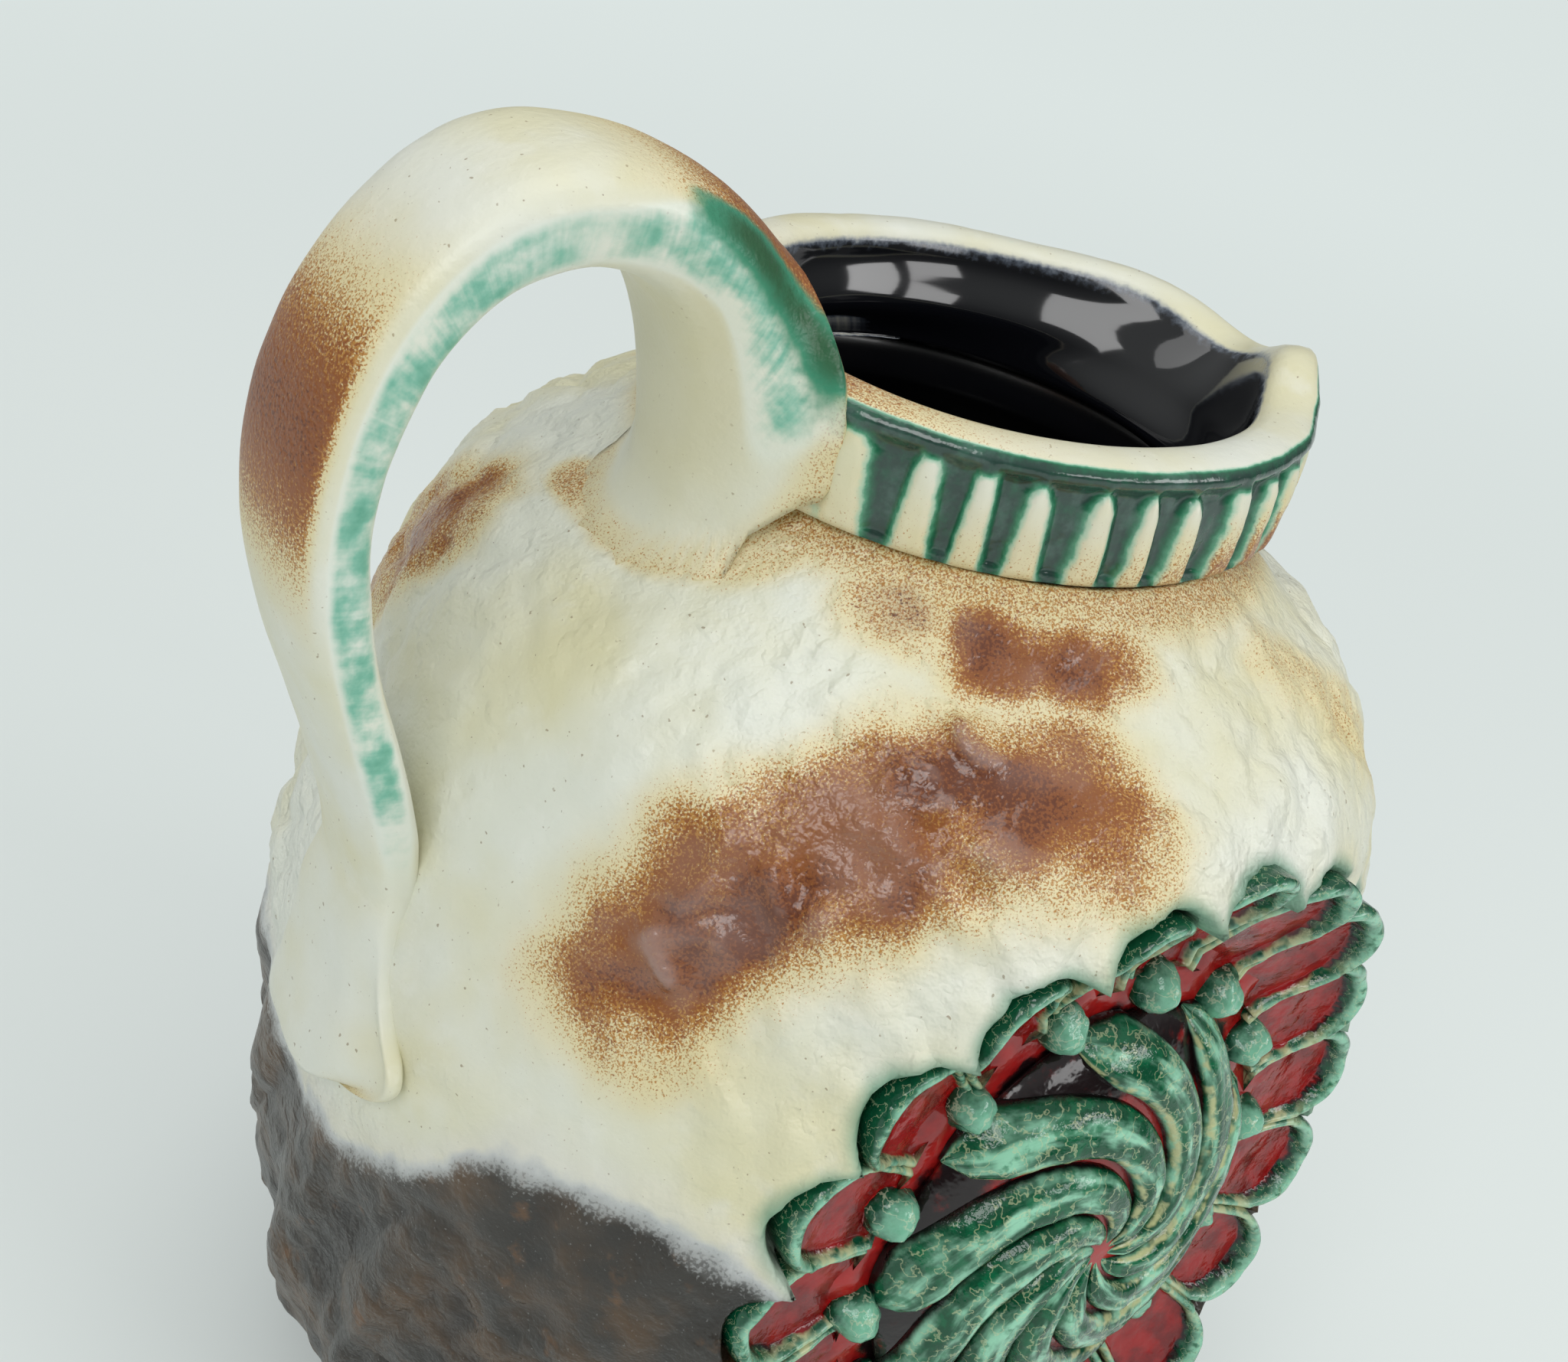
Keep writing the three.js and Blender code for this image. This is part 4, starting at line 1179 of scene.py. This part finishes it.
def bead_rings(angle, number):
    """Half a ball whose radius wobbles with noise, stretched to the bead's size and set on its circle."""
    turn = around(BEAD_COLUMNS)
    rise = np.linspace(0, 0.5 * np.pi - 0.08, BEAD_ROWS)[:, None]
    dome = polar(np.cos(rise), turn, np.sin(rise))
    dome = (1 + 0.16 * rough(dome, 0.9, BEAD_SEED + number))[..., None] * dome
    x, y = BEAD_CIRCLE + BEAD_LONG * dome[..., 0], BEAD_WIDE * dome[..., 1]
    flat = turned(x, y, angle, BEAD_FOOT + BEAD_HIGH * dome[..., 2])
    return shell(to_belly(flat), {"lift": np.sin(rise)})


def bead_glaze():
    """Green, paler towards the top, nearly black at the foot, with crazing."""
    signal, finish = glaze("bead_glaze")
    lift = signal.mark("lift") + signal.wobble(2.6, 3.0, 1.1)
    green = lift.step(0.1, 0.9).tint(paint(2, 70, 46), paint(124, 188, 158))
    green = (1 - lift.step(-0.15, 0.18)).tint(green, paint(18, 20, 18))
    craze = signal.veins(3.4, 0.025) * 0.5
    return finish(craze.tint(green, paint(206, 216, 184)), 0.1, signal.grain(1.6, 3.0), 0.25)


beads = [bead_rings(angle, number) for number, angle in enumerate(around(BEADS, BEAD_PHASE))]
add_piece("rosette_beads", beads, bead_glaze(), numbered("bead", BEADS))

# %% [markdown]
# In the middle is a low dome with nine ribs that whirl out from its top. The dome shows as red and
# black grooves. A rib is half an ellipse carried along a spiral on the dome: it starts blunt near
# the eye, is widest half way out and ends in a point.

# %% The whirl
BOSS_RADIUS, BOSS_HEIGHT, BOSS_BASE = 38.0, 11.0, 2.6
BOSS_ROWS, BOSS_COLUMNS = 30, 120
RIBS, RIB_TWIST, RIB_PHASE = 9, np.radians(122), np.radians(-12)
RIB_START, RIB_END, RIB_ROWS, RIB_COLUMNS = 1.6, 38.4, 46, 26


def boss_height(radius):
    """The dome over its ground: a height times (1 - share squared) to the power 0.6."""
    share = np.clip(radius / BOSS_RADIUS, 0, 1)
    return BOSS_BASE + BOSS_HEIGHT * (1 - share**2) ** 0.6


def boss_rings():
    """Rings of the dome from its top out, then back underneath at a level of 1 mm."""
    radius = BOSS_RADIUS * np.sin(np.linspace(0.03, 0.5 * np.pi, BOSS_ROWS))
    radius = np.append(radius, [36, 20, 4])[:, None]
    top = (np.arange(len(radius)) < BOSS_ROWS)[:, None]
    flat = polar(radius, around(BOSS_COLUMNS), np.where(top, boss_height(radius), 1.0))
    return shell(to_belly(flat), {"pool": 0.25 + 0.8 * smooth(radius, 22, 33)})


def rib_rings(start, number):
    """A rounded section across a spiral whose angle grows with the radius, grooved along its crest."""
    along = np.linspace(0, 1, RIB_ROWS)[:, None]
    turn = 2 * np.pi * (np.arange(RIB_COLUMNS) + 0.5) / RIB_COLUMNS
    across, through = np.cos(turn), np.sin(turn)
    radius = between(RIB_START, RIB_END, along)
    slope = radius * RIB_TWIST / (RIB_END - RIB_START)
    tilt = np.hypot(1, slope)
    room = radius * 2 * np.pi / RIBS / tilt / 2
    blunt = np.sqrt(np.clip(1 - (1 - along / 0.12).clip(0) ** 2, 0.05, 1))
    point = np.sqrt(np.clip((1 - along) / 0.1, 0.004, 1))
    half = np.minimum(0.88 * room, 6.0) * (blunt * point)
    angle = start + RIB_TWIST * along + across * half / radius / tilt
    shifted = radius - across * half * slope / tilt
    over = np.maximum(through, 0)
    crest = np.where(through > 0, over**0.8 * (1 - 0.12 * bell(across / 0.22)), through * 0.5)
    flat = polar(shifted, angle, boss_height(shifted) - 0.2 + np.minimum(3.8, 1.1 * half) * crest)
    flat[..., 2] += 0.3 * rough(flat, 4, 231) * (through > 0)
    tints = {"lift": over, "across": across, "along": along, "number": 3.0 * number}
    return shell(to_belly(flat), tints)


def rib_glaze():
    """Green in streaks along the rib, emerald in clouds, crazed, with a pale edge and a black foot."""
    signal, finish = glaze("rib_glaze")
    lift, across = signal.mark("lift"), signal.mark("across")
    wobble = signal.wobble(4.0, 3.0, 1.0)
    axes = {0: across * 1.6, 1: signal.mark("along") * 5.0, 2: signal.mark("number")}
    place = signal.make("ShaderNodeCombineXYZ", {}, axes)
    sockets = {"Vector": place, "Scale": 1.0, "Detail": 4.0}
    streak = signal.make("ShaderNodeTexNoise", {"normalize": True}, sockets)
    green = (streak + wobble * 0.25).step(0.43, 0.67).tint(paint(0, 76, 47), paint(152, 214, 182))
    green = (signal.grain(3.0, 4.0).step(0.5, 0.64) * 0.65).tint(green, paint(4, 108, 68))
    craze = signal.veins(3.5, 0.024) * 0.5 * lift.step(0.2, 0.5)
    green = craze.tint(green, paint(200, 210, 165))
    edge = across + wobble * 0.3
    rim = edge.step(0.6, 0.76) * (1 - edge.step(0.84, 0.96))
    rim = rim * signal.grain(3.0, 2.0).step(0.4, 0.6) * 0.8
    green = rim.tint(green, paint(208, 206, 152))
    base = 1 - (lift + wobble * 0.35).step(0.12, 0.42)
    return finish(base.tint(green, paint(18, 15, 15)), 0.1, signal.grain(1.8, 3.0), 0.25)


add_piece("whirl_dome", [boss_rings()], crimson, ["whirl_boss"])
ribs = [rib_rings(angle, number) for number, angle in enumerate(around(RIBS, RIB_PHASE))]
add_piece("whirl_ribs", ribs, rib_glaze(), numbered("whirl_rib", RIBS))

# %% [markdown]
# The jug stands on pale, seamless paper. Far from the jug the floor shows the paper's own colour to
# the camera, so that it joins the background without a line. Near the jug it takes light and keeps
# the shadow.

# %% The floor
FLOOR_HALF = 6.0
PAPER = paint(222, 231, 229)


def make_floor():
    """A square; its lit colour gives way to a plain one with the distance, for camera rays only."""
    mesh = bpy.data.meshes.new("floor")
    corners = [(-FLOOR_HALF, -FLOOR_HALF, 0), (FLOOR_HALF, -FLOOR_HALF, 0),
               (FLOOR_HALF, FLOOR_HALF, 0), (-FLOOR_HALF, FLOOR_HALF, 0)]
    mesh.from_pydata(corners, [], [(0, 1, 2, 3)])
    material = bpy.data.materials.new("pale_paper")
    material.use_nodes = True
    tree = material.node_tree
    shader = tree.nodes["Principled BSDF"]
    shader.inputs["Base Color"].default_value = paint(232, 238, 236)
    shader.inputs["Roughness"].default_value = 0.9
    signal = Signal(tree)
    place = signal.make("ShaderNodeTexCoord", output="Object")
    away = signal.make("ShaderNodeVectorMath", {"operation": "LENGTH"}, {0: place}, "Value").step(0.15, 1.2)
    seen = signal.make("ShaderNodeLightPath", output="Is Camera Ray")
    paper = signal.make("ShaderNodeEmission", {}, {"Color": PAPER})
    both = {0: seen * (away * 0.65 + 0.25), 1: Signal(tree, shader.outputs[0]), 2: paper}
    mixed = signal.make("ShaderNodeMixShader", {}, both)
    tree.links.new(mixed.socket, tree.nodes["Material Output"].inputs["Surface"])
    mesh.materials.append(material)
    floor = bpy.data.objects.new("floor", mesh)
    bpy.context.scene.collection.objects.link(floor)


make_floor()
print("floor:", 2 * FLOOR_HALF, "m wide")

# %% [markdown]
# A large soft lamp hangs overhead and a fill lamp stands above the camera. Two lamps on the right
# are like windows, and show in the black glaze. The world is a room with a pale ceiling and darker
# walls. Its paper colour is for camera rays only: the jug has no metal or glass, and a pale world
# in its reflections would turn the black inside grey. The level is plain: a white card under these
# lamps comes out white, and no more.

# %% Lamps and world


def make_lamp(name, place, aim, size, power):
    """A rectangular lamp that faces a point: its axes are the columns of its matrix."""
    data = bpy.data.lights.new(name, "AREA")
    data.shape = "RECTANGLE"
    data.size, data.size_y = size
    data.energy = power
    lamp = bpy.data.objects.new(name, data)
    back = unit(np.array(place) - np.array(aim))
    side = unit(np.cross([0, 0.01, 1], back))
    lamp.matrix_world = placed(side, np.cross(back, side), back, place)
    bpy.context.scene.collection.objects.link(lamp)


make_lamp("overhead", (-0.2, 0.35, 2.4), (0, 0, 0.12), (1.5, 1.5), 12.6)
make_lamp("window_near", (0.85, -0.95, 0.75), (0, 0, 0.15), (0.45, 0.35), 2.6)
make_lamp("window_far", (0.35, -1.25, 0.7), (0, 0, 0.15), (0.5, 0.35), 2.6)
make_lamp("fill", (-1.0, -0.7, 1.15), (0, 0, 0.12), (0.8, 0.6), 6.9)

world = bpy.data.worlds.new("studio")
world.use_nodes = True
sky = Signal(world.node_tree)
heading = sky.make("ShaderNodeTexCoord", output="Generated")
height = sky.make("ShaderNodeSeparateXYZ", {}, {0: heading}, 2)
daylight = height.step(0.0, 0.8).tint(paint(84, 85, 85), paint(196, 199, 198))
seen = sky.make("ShaderNodeLightPath", output="Is Camera Ray")
daylight = seen.tint(daylight, PAPER)
world.node_tree.links.new(daylight.socket, world.node_tree.nodes["Background"].inputs["Color"])
bpy.context.scene.world = world
bpy.context.scene.view_settings.view_transform = "Standard"
